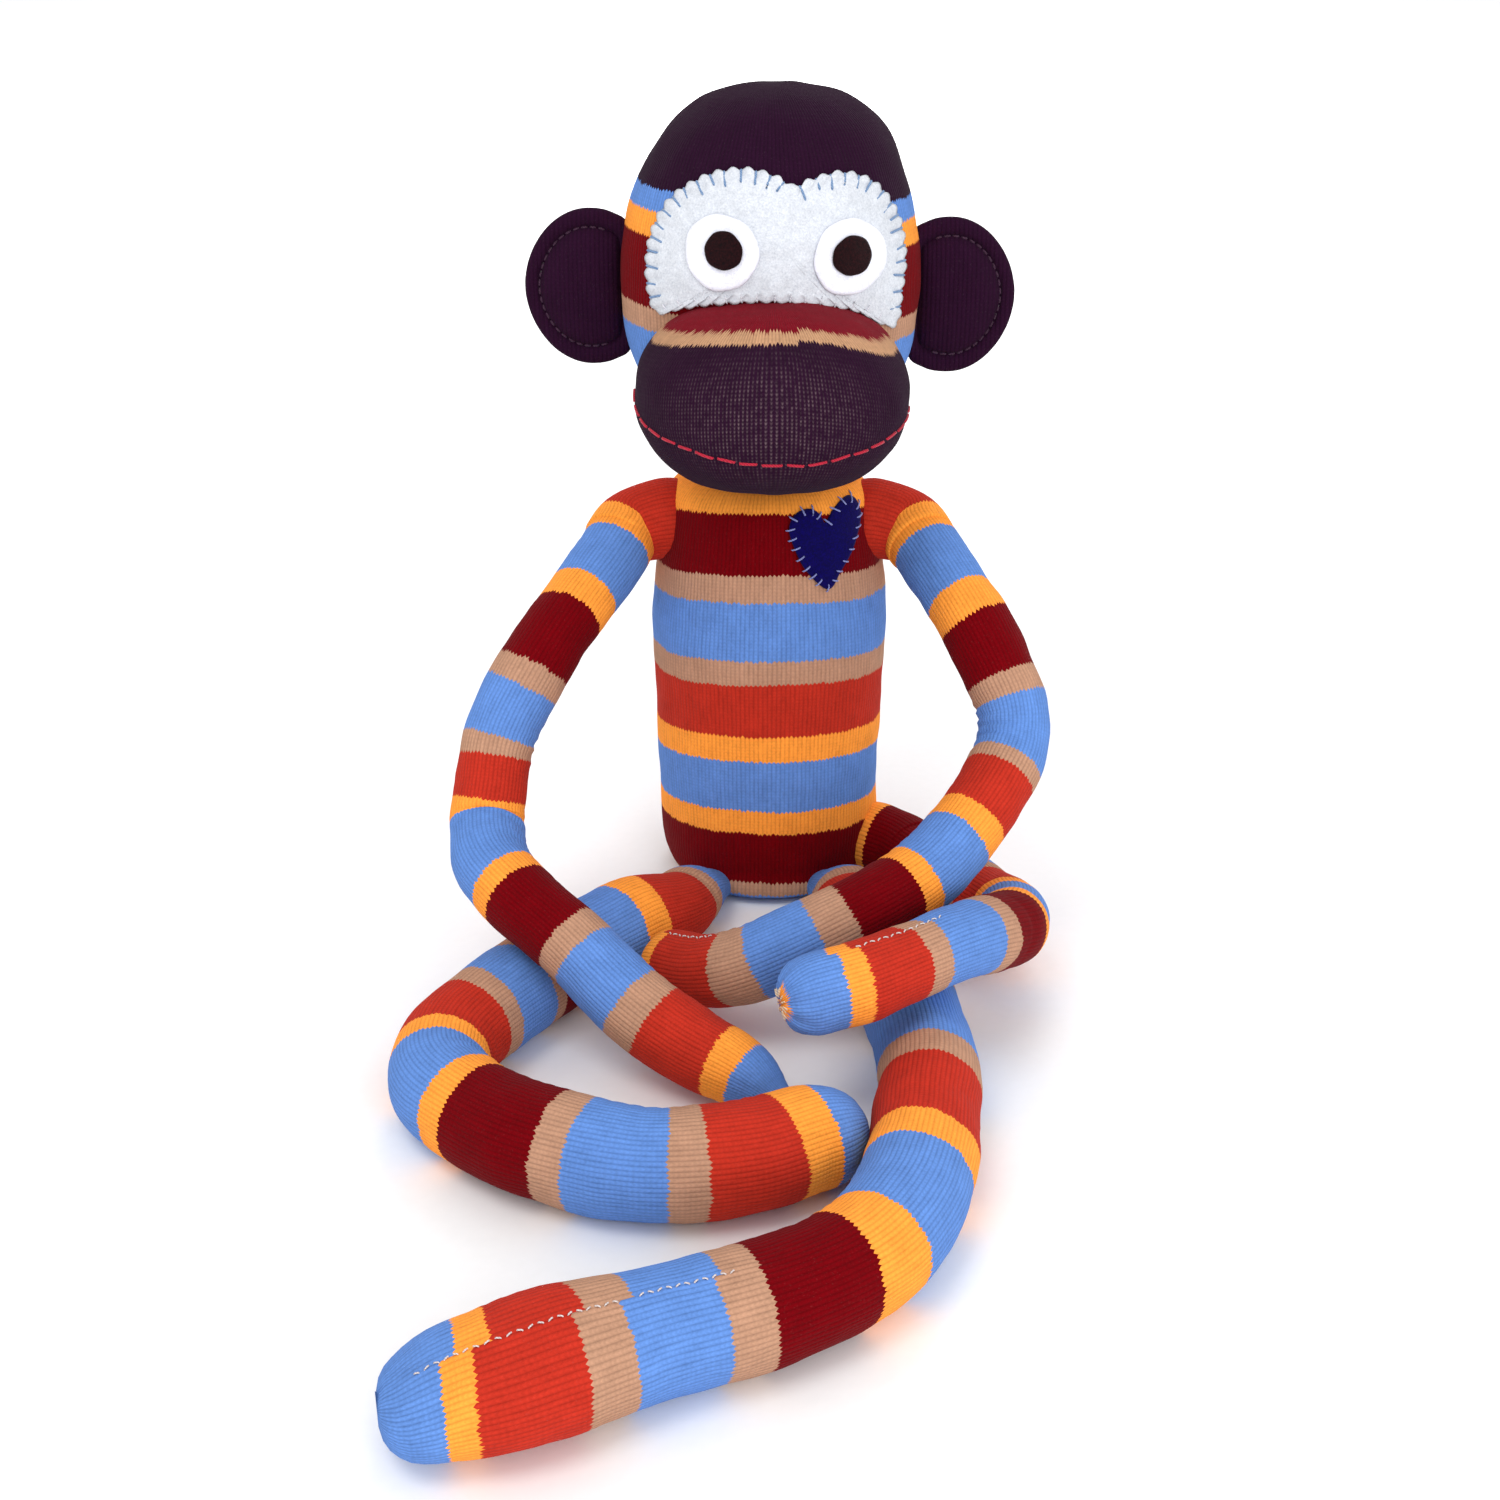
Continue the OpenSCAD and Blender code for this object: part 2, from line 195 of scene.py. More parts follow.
def knit(name, bands, jag=0.9, stretch=0.0):
    """Striped jersey knit. The map's U is the place along the stripes in metres and V the number of the wale.
    bands: (start in mm, yarn), in order. stretch lets the light inside of the sock show between the wales."""
    g = Graph(name, roughness=0.85, sheen=0.02, specular=0.05)
    u, v, _ = g.split(g.uv())
    mm = g.math("MULTIPLY", u, 1000.0)
    part = g.math("FRACT", v)
    vee = g.math("ABSOLUTE", g.math("MULTIPLY_ADD", part, 2.0,
                                    -1.0))          # 0 in a wale's middle, 1 between wales
    rib = g.math("SUBTRACT", 1.0, g.math("POWER", vee, 2.4))
    ragged = g.noise(g.join(g.math("FLOOR", v), g.math("MULTIPLY", mm, 0.12), 0.0), 0.73, 1.0)
    drift = g.noise(g.place(), 22.0, 1.0)
    edge = g.math("ADD", mm, g.math("MULTIPLY_ADD", ragged, jag * 2.2, -jag * 1.1))
    edge = g.math("ADD", edge, g.math("MULTIPLY_ADD", vee, jag * 0.9, -jag * 0.45))
    edge = g.math("ADD", edge, g.math("MULTIPLY_ADD", drift, 3.0, -1.5))
    lo, hi = bands[0][0] - 1.0, bands[-1][0] + 1.0
    stops = [((max(s, lo) - lo) / (hi - lo), YARN[c]) for s, c in bands]
    stops[0] = (0.0, stops[0][1])
    colour = g.steps(g.band(edge, lo, hi, 0.0, 1.0), stops)
    # the courses: small V stitches, leaning down to the middle of each wale
    course = g.math("SINE", g.math("MULTIPLY_ADD", mm, 2 * math.pi / COURSE, g.math("MULTIPLY", vee, 2.6)))
    course = g.math("MULTIPLY_ADD", course, 0.5, 0.5)
    streak = g.noise(g.join(g.math("MULTIPLY", v, 0.9), g.math("MULTIPLY", mm, 0.09), 0.0), 1.0, 2.0, 0.6)
    tuft = g.noise(g.place(), 900.0, 3.0, 0.65)
    patch = g.noise(g.place(), 130.0, 3.0, 0.6)
    # painted shade: the yarn is darker between the wales and in the dips between the courses; the streaks,
    # patches and tufts are tone that differs at random
    tone_and_groove_shade = g.math("MULTIPLY_ADD", rib, 0.17, 0.87)
    tone_and_groove_shade = g.math("ADD", tone_and_groove_shade, g.math("MULTIPLY_ADD", streak, 0.36, -0.18))
    tone_and_groove_shade = g.math("ADD", tone_and_groove_shade, g.math("MULTIPLY_ADD", patch, 0.3, -0.15))
    tone_and_groove_shade = g.math("ADD", tone_and_groove_shade, g.math("MULTIPLY_ADD", tuft, 0.4, -0.2))
    tone_and_groove_shade = g.math("ADD", tone_and_groove_shade, g.math("MULTIPLY_ADD", g.math("MULTIPLY", course, rib), 0.10, -0.04))
    colour = g.shade(colour, tone_and_groove_shade)
    # painted highlights: loose fibres catch the light
    fibre = g.band(g.noise(g.place(), 2200.0, 2.0, 0.7), 0.62, 0.8, 0.0, 0.035)
    colour = g.mix(fibre, colour, lin("e8dcd8"), "SCREEN")
    if stretch:
        gap = g.math("MULTIPLY", g.math("POWER", vee, 2.5),
                     g.band(g.noise(g.place(), 420.0, 2.0, 0.6), 0.35, 0.65, 0.15 * stretch, stretch))
        gap = g.math("MULTIPLY", gap, g.math("MULTIPLY_ADD", course, 0.85, 0.15))
        x, y, z = g.split(g.place())
        far = g.math("ADD", g.math("POWER", g.math("ABSOLUTE", g.math("MULTIPLY", x, 33.0)), 2.0),
                     g.math("POWER", g.math("ABSOLUTE", g.math("MULTIPLY_ADD", z, 52.0, -52.0 * 0.195)), 2.0))
        middle = g.band(far, 0.0, 1.6, 0.8, 0.06)
        colour = g.mix(g.math("MULTIPLY", gap, middle), colour, lin("cdb0b4"))
    height = g.math("MULTIPLY_ADD", course, 0.2, 0.8)
    height = g.math("MULTIPLY", height, rib)
    height = g.math("ADD", height, g.math("MULTIPLY", tuft, 0.45))
    normal = g.bump(height, 0.5, 0.0005, g.bump(patch, 0.35, 0.0012))
    rough = g.math("MULTIPLY_ADD", tuft, 0.16, 0.80)
    return g.done(colour, rough, normal)


def felt_cloth(name, colour, deep, sheen=0.35):
    """Matted wool felt: short tangled fibres, small pills and a soft sheen"""
    g = Graph(name, sheen=sheen, specular=0.08)
    p = g.place()
    tangle = g.noise(p, 1500.0, 5.0, 0.72)
    pill = g.noise(p, 380.0, 3.0, 0.6)
    cloud = g.noise(p, 90.0, 2.0, 0.5)
    c = g.mix(g.band(tangle, 0.35, 0.68, 0.0, 1.0), deep, colour)
    c = g.shade(c, g.math("ADD", g.math("MULTIPLY_ADD", cloud, 0.2, 0.84),
                          g.math("MULTIPLY_ADD", pill, 0.36, -0.12)))
    h = g.math("MULTIPLY_ADD", tangle, 0.7, g.math("MULTIPLY", pill, 0.6))
    return g.done(c, g.math("MULTIPLY_ADD", tangle, 0.12, 0.84), g.bump(h, 0.6, 0.0006))


def thread_fibre(name, colour, deep):
    """Two-ply sewing thread with a slight lustre"""
    g = Graph(name, sheen=0.15, specular=0.3)
    p = g.place()
    x, y, z = g.split(p)
    ply = g.math("SINE", g.math("MULTIPLY", g.math("ADD", g.math("ADD", x, z), g.math("MULTIPLY", y, 0.6)),
                                6500.0))
    fuzz = g.noise(p, 2600.0, 3.0, 0.6)
    f = g.math("MULTIPLY_ADD", ply, 0.28, fuzz, clamp=True)
    c = g.mix(f, deep, colour)
    return g.done(c, g.math("MULTIPLY_ADD", fuzz, 0.2, 0.55), g.bump(f, 0.5, 0.0003))


# ---------------------------------------------------------------- shapes

def blend4(a, b, c, d, t):
    """Catmull-Rom between b and c"""
    return 0.5 * (2 * b + (c - a) * t + (2 * a - 5 * b + 4 * c - d) * t * t + (3 * b - a - 3 * c + d) * t ** 3)


def course_of(points, step=2.0):
    """A smooth line through points (x, y, z, radius), about step apart, and its length so far at each place"""
    p = np.array(points, float)
    p = np.vstack([2 * p[0] - p[1], p, 2 * p[-1] - p[-2]])
    out = []
    for i in range(1, len(p) - 2):
        n = max(2, int(round(np.linalg.norm(p[i + 1][:3] - p[i][:3]) / step)))
        out += [blend4(p[i - 1], p[i], p[i + 1], p[i + 2], k / n) for k in range(n)]
    out.append(p[-2])
    line = np.array(out)
    s = np.r_[0, np.cumsum(np.linalg.norm(np.diff(line[:, :3], axis=0), axis=1))]
    return line, s


def unit(v):
    return v / np.maximum(np.linalg.norm(v, axis=-1, keepdims=True), 1e-12)


def lumps(p, scale, seed=0.0):
    """Smooth noise from -1 to 1 at each point of an array of points"""
    flat = p.reshape(-1, 3) * scale + seed
    return np.array([noise.noise(Vector(q)) for q in flat]).reshape(p.shape[:-1])


def outward(v, faces, uvs):
    """The same faces, turned round if they wind inward, with their map"""
    tris = np.array([(f[0], f[i], f[i + 1]) for f in faces for i in range(1, len(f) - 1)])
    if np.einsum("ij,ij->", v[tris[:, 0]], np.cross(v[tris[:, 1]], v[tris[:, 2]])) >= 0:
        return faces, uvs
    if uvs is not None:
        turned, k = [], 0
        for f in faces:
            turned += list(uvs[k:k + len(f)])[::-1]
            k += len(f)
        uvs = turned
    return [tuple(reversed(f)) for f in faces], uvs


def new_mesh(name, verts, faces, material, uvs=None):
    verts = np.asarray(verts, float)
    faces, uvs = outward(verts, faces, uvs)
    mesh = bpy.data.meshes.new(name)
    mesh.from_pydata((verts * MM).tolist(), [], faces)
    mesh.polygons.foreach_set("use_smooth", [True] * len(mesh.polygons))
    if uvs is not None:
        layer = mesh.uv_layers.new(name="knit")
        layer.data.foreach_set("uv", np.asarray(uvs, float).ravel())
    mesh.materials.append(material)
    mesh.update()
    ob = bpy.data.objects.new(name, mesh)
    scene.collection.objects.link(ob)
    return ob


def skin(name, p, along, wales, material, first, last, slip=None, jog=None):
    """A closed tube of rings p[i, j], with a pole at each end. along[i, j] is the place of each point along
    the stripes, wales how many wales go round. first and last are the poles, each a point and its place along
    the stripes. slip, (how far, from, to), is how far the stripes miss each other at the seam (column 0),
    growing from nothing between two places along the tube. jog gives each face's shift of the stripes."""
    rows, cols = p.shape[:2]
    verts = list(p.reshape(-1, 3))
    faces, uvs = [], []

    def at(i, j):
        u = along[i, j % cols]
        if slip:
            u += slip[0] * (j / cols - 0.5) * min(1.0, max(0.0, (u - slip[1]) / (slip[2] - slip[1])))
        return u * MM, j / cols * wales

    for i in range(rows - 1):
        for j in range(cols):
            k = (j + 1) % cols
            faces.append((i * cols + j, i * cols + k, (i + 1) * cols + k, (i + 1) * cols + j))
            q = [at(i, j), at(i, j + 1), at(i + 1, j + 1), at(i + 1, j)]
            if jog:
                q = [(a + jog(0.25 * (p[i, j] + p[i, k] + p[i + 1, j] + p[i + 1, k])) * MM, b) for a, b in q]
            uvs += q
    for row, (point, u), flip in ((0, first, True), (rows - 1, last, False)):
        verts.append(point)
        top = len(verts) - 1
        for j in range(cols):
            k = (j + 1) % cols
            tri = [(top, (u * MM, (j + 0.5) / cols * wales)), (row * cols + j, at(row, j)),
                   (row * cols + k, at(row, j + 1))]
            if flip:
                tri = [tri[0], tri[2], tri[1]]
            faces.append(tuple(x[0] for x in tri))
            uvs += [x[1] for x in tri]
    return new_mesh(name, verts, faces, material, uvs)


def limb(name, points, bands, wales, top, slip=None, flat=None, seed=0.0, cols=56, puckers=0.0, blunt=0.92,
         toe=0.85, slope=None, slack=None):
    """A stuffed knitted tube with rounded ends along points. top is the way its seam faces at the far end.
    flat = (start, wide, high) flattens it towards its far end, slope = (start, amount) lets its top fall
    there, and slack = (height, until) thins it where it starts."""
    line, s = course_of(points)
    c, r = line[:, :3], line[:, 3]
    t = unit(np.gradient(c, axis=0))
    bend = np.gradient(t, axis=0) / np.maximum(np.gradient(s), 1e-6)[:, None]
    for _ in range(3):
        bend[1:-1] = (bend[:-2] + bend[1:-1] + bend[2:]) / 3
    # carry the seam's direction back from the far end, so that it never jumps
    n = np.zeros_like(c)
    n[-1] = unit(np.array(top, float) - np.dot(top, t[-1]) * t[-1])
    for i in range(len(c) - 2, -1, -1):
        n[i] = unit(n[i + 1] - np.dot(n[i + 1], t[i]) * t[i])
    b = np.cross(t, n)
    angle = np.arange(cols) / cols * 2 * math.pi
    rounds = [math.radians(a) for a in (8, 20, 32, 44, 56, 68, 80)]
    rings = [(c[0] - t[0] * r[0] * math.cos(a), n[0], b[0], r[0] * math.sin(a), -r[0] * math.cos(a),
              0) for a in rounds]
    rings += [(c[i], n[i], b[i], r[i], s[i], i) for i in range(len(c))]
    e = len(c) - 1
    rings += [(c[e] + t[e] * r[e] * blunt * math.cos(a), n[e], b[e], r[e] * math.sin(a) ** toe,
               s[e] + r[e] * blunt * math.cos(a), e)
              for a in reversed(rounds)]
    p = np.zeros((len(rings), cols, 3))
    along = np.zeros((len(rings), cols))
    for k, (q, nn, bb, rr, ss, i) in enumerate(rings):
        d = np.cos(angle)[:, None] * nn + np.sin(angle)[:, None] * bb
        inner = np.clip(d @ bend[i], 0,
                        None)                                   # how far a point lies inside the bend
        fold = np.minimum(FOLD,
                          inner * 14) * np.sin(ss * 2 * math.pi / FOLD_PITCH + 1.6 * np.sin(angle * 2 + seed))
        rad = rr + fold * min(1, rr / 8)
        wide, high = 1.0, 1.0
        if flat and ss > flat[0]:
            f = min(1.0, (ss - flat[0]) / 35)
            f = f * f * (3 - 2 * f)
            wide, high = 1 + (flat[1] - 1) * f, 1 + (flat[2] - 1) * f
        d2 = np.cos(angle)[:, None] * nn * high + np.sin(angle)[:, None] * bb * wide
        p[k] = q + d2 * rad[:, None]
        along[k] = ss
    mid = np.array([g[0] for g in rings])[:, None, :]
    out = unit(p - mid)
    amount = np.array([min(1, g[3] / 8) for g in rings])[:, None]
    p = p + out * ((lumps(p, 0.035, seed) * 1.0 + lumps(p, 0.11, seed + 9) * 0.45) * amount)[..., None]
    if puckers:
        # the far end is gathered on its sewing thread
        tail = np.clip((along - (s[-1] + r[-1] * 0.25)) / 6, 0, 1)
        p = p + out * (tail * puckers * np.cos(angle * 9)[None, :])[..., None]
    if slack:
        f = np.clip((along - 4) / (slack[1] - 4), 0, 1)
        p[..., 2] *= slack[0] + (1 - slack[0]) * f * f * (3 - 2 * f)
    if slope:
        p[..., 2] *= 1 - slope[1] * np.clip((along - slope[0]) / 30, 0, 1.3) ** 1.5
    p[..., 2] = np.maximum(p[..., 2], SETTLE)
    reach = r[e] * (blunt if not puckers else 0.72)
    ob = skin(name, p, along, wales, knit(name + "_knit", bands), (c[0] - t[0] * r[0], -r[0]),
              (c[e] + t[e] * reach, s[e] + r[e]), slip)
    return ob, p, out, along


def lathe(outline, step=2.0, cols=112):
    """Rings of a turned form, (radius, height) points, from the bottom up. Column 0 is at the back."""
    line, _ = course_of([(a, 0, h, 1) for a, h in outline], step)
    angle = np.arange(cols) / cols * 2 * math.pi + math.pi / 2
    r, z = np.maximum(line[:, 0], 0.05), line[:, 2]
    p = np.stack([r[:, None] * np.cos(angle), r[:, None] * np.sin(angle), np.repeat(z[:, None], cols, 1)],
                 axis=2)
    return p, r, z, angle


class Threads:
    """Many short lengths of thread in one mesh"""

    def __init__(self):
        self.v, self.f = [], []

    def add(self, path, r, sides=7, taper=True):
        path = np.array(path, float)
        t = unit(np.gradient(path, axis=0))
        side = np.cross(t, (0.3, 0.2, 0.93))
        side = unit(side)
        up = np.cross(side, t)
        k0 = len(self.v)
        n = len(path)
        for i in range(n):
            w = r * (0.45 if taper and i in (0, n - 1) else 1)
            for j in range(sides):
                a = 2 * math.pi * j / sides
                self.v.append(path[i] + w * (math.cos(a) * side[i] + math.sin(a) * up[i]))
        for i in range(n - 1):
            for j in range(sides):
                k = (j + 1) % sides
                self.f.append((k0 + i * sides + j, k0 + i * sides + k, k0 + (i + 1) * sides + k,
                               k0 + (i + 1) * sides + j))
        self.f.append(tuple(k0 + j for j in reversed(range(sides))))
        self.f.append(tuple(k0 + (n - 1) * sides + j for j in range(sides)))

    def stitch(self, a, b, out, r, rise=0.5, sink=0.35):
        """One stitch from a to b, rising over the cloth and diving into it at both ends"""
        a, b, out = np.array(a, float), np.array(b, float), np.array(out, float)
        path = []
        for f in (0, 0.12, 0.3, 0.5, 0.7, 0.88, 1):
            h = rise * (1 - (2 * f - 1) ** 4) - sink * (1 if f in (0, 1) else 0)
            path.append(a + (b - a) * f + out * h)
        self.add(path, r)

    def build(self, name, material):
        return new_mesh(name, self.v, self.f, material)


def tree_of(*objects):
    """A surface to lay things on, from the final meshes"""
    verts, faces = [], []
    for o in objects:
        k = len(verts)
        verts += [tuple(v.co / MM) for v in o.data.vertices]
        faces += [tuple(i + k for i in q.vertices) for q in o.data.polygons]
    return BVHTree.FromPolygons(verts, faces)


def front(tree, x, z):
    """The place that a point (x, z) seen from straight ahead has on a surface"""
    hit = tree.ray_cast(Vector((x, -300, z)), Vector((0, 1, 0)))[0]
    return np.array(hit) if hit else np.array((x, -40.0, z))


def closed(points, step):
    """A closed smooth outline through (x, z) points, with even steps"""
    p = np.array(points, float)
    n = len(p)
    fine = np.array([blend4(p[(i - 1) % n], p[i], p[(i + 1) % n], p[(i + 2) % n],
                            k / 12) for i in range(n) for k in range(12)])
    loop = np.vstack([fine, fine[:1]])
    s = np.r_[0, np.cumsum(np.linalg.norm(np.diff(loop, axis=0), axis=1))]
    m = int(round(s[-1] / step))
    q = np.linspace(0, s[-1], m, endpoint=False)
    return np.stack([np.interp(q, s, loop[:, 0]), np.interp(q, s, loop[:, 1])], axis=1), s[-1]


def inward(outline, centre):
    """Unit vectors across an outline, pointing in"""
    t = unit(np.roll(outline, -1, axis=0) - np.roll(outline, 1, axis=0))
    n = np.stack([-t[:, 1], t[:, 0]], axis=1)
    flip = np.sign(np.sum(n * (np.array(centre) - outline), axis=1, keepdims=True).mean())
    return n * flip


def felt_piece(name, outline, centre, tree, out_of, lift, thick, material, rings=15, rough=0.22, seed=0.0,
               nip=None):
    """A piece of thick felt that follows the surface under it, with a soft round edge"""
    c = np.array(centre, float)
    n = len(outline)
    k = [i / rings for i in range(1, rings)] + [0.975, 1.0]
    verts, faces = [], []
    for side in (1, 0):
        for q, f in enumerate(k):
            if side == 0 and q == len(k) - 1:
                continue
            for j, (x, z) in enumerate(c + (outline - c) * f):
                p = front(tree, x, z)
                o = out_of(p)
                edge = 0.5 if q == len(k) - 1 else (0.88 if q == len(k) - 2 else 1.0)
                h = lift + thick * edge if side else lift + (thick * 0.1 if q == len(k) - 2 else 0)
                if side and edge == 1.0:
                    h += rough * noise.noise(Vector((x * 0.22 + seed, z * 0.22, 3.3)))
                    if nip is not None and f > 0.84:
                        h += 0.35 - 0.75 * nip[j] * min(1.0, (f - 0.84) / 0.06)
                verts.append(p + o * h)
    m = len(k)
    first_centre = len(verts)
    for side in (1, 0):
        p = front(tree, *c)
        verts.append(p + out_of(p) * (lift + thick * side))

    def idx(side, q, j):
        j %= n
        if side == 1 or q == m - 1:
            return q * n + j
        return m * n + q * n + j

    for side in (1, 0):
        for q in range(m - 1):
            for j in range(n):
                f = (idx(side, q, j), idx(side, q, j + 1), idx(side, q + 1, j + 1), idx(side, q + 1, j))
                faces.append(f if side else tuple(reversed(f)))
        mid = first_centre + 1 - side
        for j in range(n):
            f = (mid, idx(side, 0, j + 1), idx(side, 0, j))
            faces.append(f if side else tuple(reversed(f)))
    return new_mesh(name, verts, faces, material)


def sheet_area(outline):
    x, z = outline[:, 0], outline[:, 1]
    return 0.5 * abs(np.dot(x, np.roll(z, -1)) - np.dot(z, np.roll(x, -1))) * MM * MM


# ---------------------------------------------------------------- body

# torso
torso_outline = [(2, 0.6), (14, 0.3), (26, 0.6), (33.5, 2.2), (38.5, 6.5), (40.8, 14), (41.4, 26), (41.3, 40),
                 (42.5, 70), (43.8, 98), (41.8, 121),
                 (39.6, 135), (38.2, 145), (36, 151), (30.5, 155.6), (22, 157.6), (15.5, 158.6)]
p, r, z, angle = lathe(torso_outline)
front_part = -np.sin(angle)[None, :]
p = p + unit(p * (1, 1, 0)) * ((lumps(p, 0.03, 4.0) * 0.9 + lumps(p, 0.1, 2.0) * 0.5) * np.clip(z / 20, 0, 1)[:,
        None])[..., None]
side = np.cos(angle)[None, :] ** 2
# the seat swells forward between the thighs, where the sock is cut for the legs
low = np.clip(1 - np.abs(z[:, None] - 3.0) / 9.0, 0, 1) * np.clip(front_part * 1.5 - 0.35, 0, 1)
p[..., :2] *= 1 + (0.17 * low ** 1.2 * np.clip(r / 30, 0, 1)[:, None])[..., None]
along = z[:, None] + 4.0 * side - np.where(z < 4, np.clip(34 - r, 0, 40), 0)[:, None]
torso_bands = [(-40, "blue"), (4.4, "tan"), (9.0, "maroon"), (29.2, "orange"), (37.8, "blue"), (58.2, "orange"),
               (67.8, "red"), (88.7, "tan"),
               (97.6, "blue"), (118.7, "tan"), (128.4, "maroon"), (150.1, "orange"), (170, "orange")]
torso = skin("torso", p, along, 165, knit("torso_knit", torso_bands), (np.array((0, 0, 0.6)), -30),
             (np.array((0, 0, 158.8)), 160))

# neck: the gathered edge of the sock, drawn in by a wrapped thread
cols = 96
angle = np.arange(cols) / cols * 2 * math.pi + math.pi / 2
rows = []
for rr, zz in ((17.5, 151), (19.6, 153.5), (20.2, 155.8), (18.6, 157.6), (17.5, 158.6), (18.2, 159.8),
               (19.8, 161.4), (20.4, 163.4), (18.5, 166)):
    pleat = 0.55 * np.sin(angle * 24 + 0.6 * np.sin(angle * 5))
    rows.append(np.stack([(rr + pleat) * np.cos(angle), (rr + pleat) * np.sin(angle), np.full(cols, zz)],
                         axis=1))
p = np.array(rows)
neck_gather = skin("neck_gather", p, p[..., 2], 80,
                   knit("neck_knit", [(140, "orange"), (159.5, "blue"), (170, "blue")]),
                   (np.array((0, 0, 151.5)), 150), (np.array((0, 0, 165.5)), 167))
winding = Threads()
winding.add([(18.15 * math.cos(a), 18.15 * math.sin(a), 157.3 + 2.9 * a / (8 * math.pi)) for a in np.linspace(0,
        8 * math.pi, 220)], 0.55, taper=False)
neck_thread = winding.build("neck_winding", thread_fibre("neck_thread_fibre", lin("b88a58"), lin("6a4428")))

# head
head_outline = [(5, 161.5), (13, 163), (24, 171), (34.5, 178), (44, 188), (49.8, 202), (52, 219), (51.2, 238),
                (47, 257), (38, 274), (25, 285), (11, 289.4), (3, 290)]
p, *_ = lathe(head_outline, cols=128)
p = p + unit(p - (0, 0, 222)) * (lumps(p, 0.028, 7.0) * 0.9 + lumps(p, 0.09, 5.0) * 0.5)[..., None]
crown = unit(p - (0, 0, 240))
p = p + crown * (2.2 * np.clip(crown @ np.array((0.62, -0.1, 0.78)), 0,
                               1) ** 14 - 1.2 * np.clip(crown @ np.array((-0.75, 0, 0.66)), 0, 1) ** 10)[...,
                                       None]
along = p[..., 2] + 0.05 * p[..., 0]
head_bands = [(150, "orange"), (164, "red"), (182, "tan"), (190, "blue"), (210.5, "tan"), (218, "maroon"),
              (241.4, "orange"), (249.7, "blue"),
              (256.8, "aubergine"), (300, "aubergine")]
head = skin("head", p, along, 190, knit("head_knit", head_bands), (np.array((0, 0, 161)), 161),
            (np.array((0, 0, 290.1)), 292))

# muzzle: a stuffed oval sewn over the lower face
C, A = np.array((0.5, -48, 195)), np.array((45.5, 46, 31))
cols, rowsn = 128, 60
lat = np.linspace(-88, 88, rowsn) * math.pi / 180
lon = np.arange(cols) / cols * 2 * math.pi + math.pi / 2


def power(x, k):
    return np.sign(x) * np.abs(x) ** k


p = np.zeros((rowsn, cols, 3))
for i, a in enumerate(lat):
    ca, sa = power(math.cos(a), 0.78), power(math.sin(a), 0.95)
    p[i] = C + A * np.stack([ca * power(np.cos(lon), 0.9), ca * power(np.sin(lon), 0.94), np.full(cols, sa)],
                            axis=1)
p = p + unit(p - C) * (lumps(p, 0.035, 1.0) * 0.9 + lumps(p, 0.1, 3.0) * 0.5)[..., None]
along = p[..., 2] + np.where(p[..., 0] > 0, 10, 6) * ((p[..., 0] - 0.5) / 43) ** 2
muzzle_bands = [(150, "aubergine"), (218.3, "muzzle_tan"), (220.9, "muzzle_red"), (240, "muzzle_red")]
muzzle = skin("muzzle", p, along, 225, knit("muzzle_knit", muzzle_bands, stretch=0.4), (C - (0, 0, A[2]), 164),
              (C + (0, 0, A[2]), 228),
              jog=lambda q: -1.0 if q[0] > 8.5 and q[1] < -50 else 0.0)


def ear(name, side, middle):
    """A flat padded ear: two layers of the second sock's toe, with topstitching in a groove inside the edge"""
    sections = np.array([(54.5, 25.4), (60, 26.8), (66, 26.6), (71.5, 24.6), (76.5, 21), (80.8, 15.8),
                         (83.8, 9.8), (85.3, 4), (85.6, 0)])
    edge = [(49, -21.5)] + [(x, -h) for x, h in sections] + [(x, h) for x, h in sections[-2::-1]] + [(49, 21.5),
            (48, 10), (48, -10)]
    outline, _ = closed(edge, 1.6)
    c = np.array((64.0, 0.0))
    cols = len(outline)
    k = np.array([0.03, 0.14, 0.26, 0.38, 0.48, 0.56, 0.63, 0.685, 0.725, 0.75, EAR_GROOVE, 0.775, 0.80, 0.84,
                  0.89, 0.93, 0.965, 0.99, 1.0])

    def half(f):
        """Half the thickness at f: padding up to the groove, then the rim"""
        pad = 5.0 * max(0.0, 1 - (f / 0.757) ** 2.8) ** 0.55
        rim = 1.9 * max(0.0, 1 - (abs(f - 0.884) / 0.116) ** 2.2) ** 0.5
        return max(pad, rim) + 0.6 if f < 1 else 0.15

    rows = []
    for face in (-1, 1):
        for f in (k if face < 0 else k[-2::-1]):
            q = c + (outline - c) * f
            y = face * half(f) + 0.35 * lumps(np.stack([q[:, 0], q[:, 1], np.full(cols, 5.0 * face)], axis=1),
                                              0.12, middle)
            rows.append(np.stack([side * q[:, 0], y, middle + q[:, 1]], axis=1))
    p = np.array(rows)
    if side > 0:
        p = p[:, ::-1]
    ob = skin(name, p, p[..., 2] + 3 * np.sin(p[..., 0] / 9), 1,
              knit(name + "_knit", [(100, "aubergine"), (300, "aubergine")]),
              (np.array((side * 64, -5.6, middle)), middle), (np.array((side * 64, 5.6, middle)), middle))
    uv = ob.data.uv_layers["knit"].data
    for poly in ob.data.polygons:
        for i in poly.loop_indices:
            co = ob.data.vertices[ob.data.loops[i].vertex_index].co / MM
            uv[i].uv = (co.z * MM, co.x / 1.55)
    t = Threads()
    ring, _ = closed(np.array([c + (outline[i] - c) * EAR_GROOVE for i in range(0, cols, 2)]), 1.0)
    for face in (-1, 1):
        for i in range(0, len(ring) - 2, 3):
            a, b = ring[i], ring[i + 2]
            if min(a[0], b[0]) < 55.5:
                continue
            ya, yb = (face * 0.8 + 0.35 * lumps(np.array([[q[0], q[1], 5.0 * face]]), 0.12,
                                                middle)[0] for q in (a, b))
            t.stitch((side * a[0], ya, middle + a[1]), (side * b[0], yb, middle + b[1]), (0, face, 0), 0.42,
                     0.35, 0.3)
    return ob, t.build(name + "_stitches", thread_fibre(name + "_thread_fibre", lin("4e2846"), lin("1c0a18")))


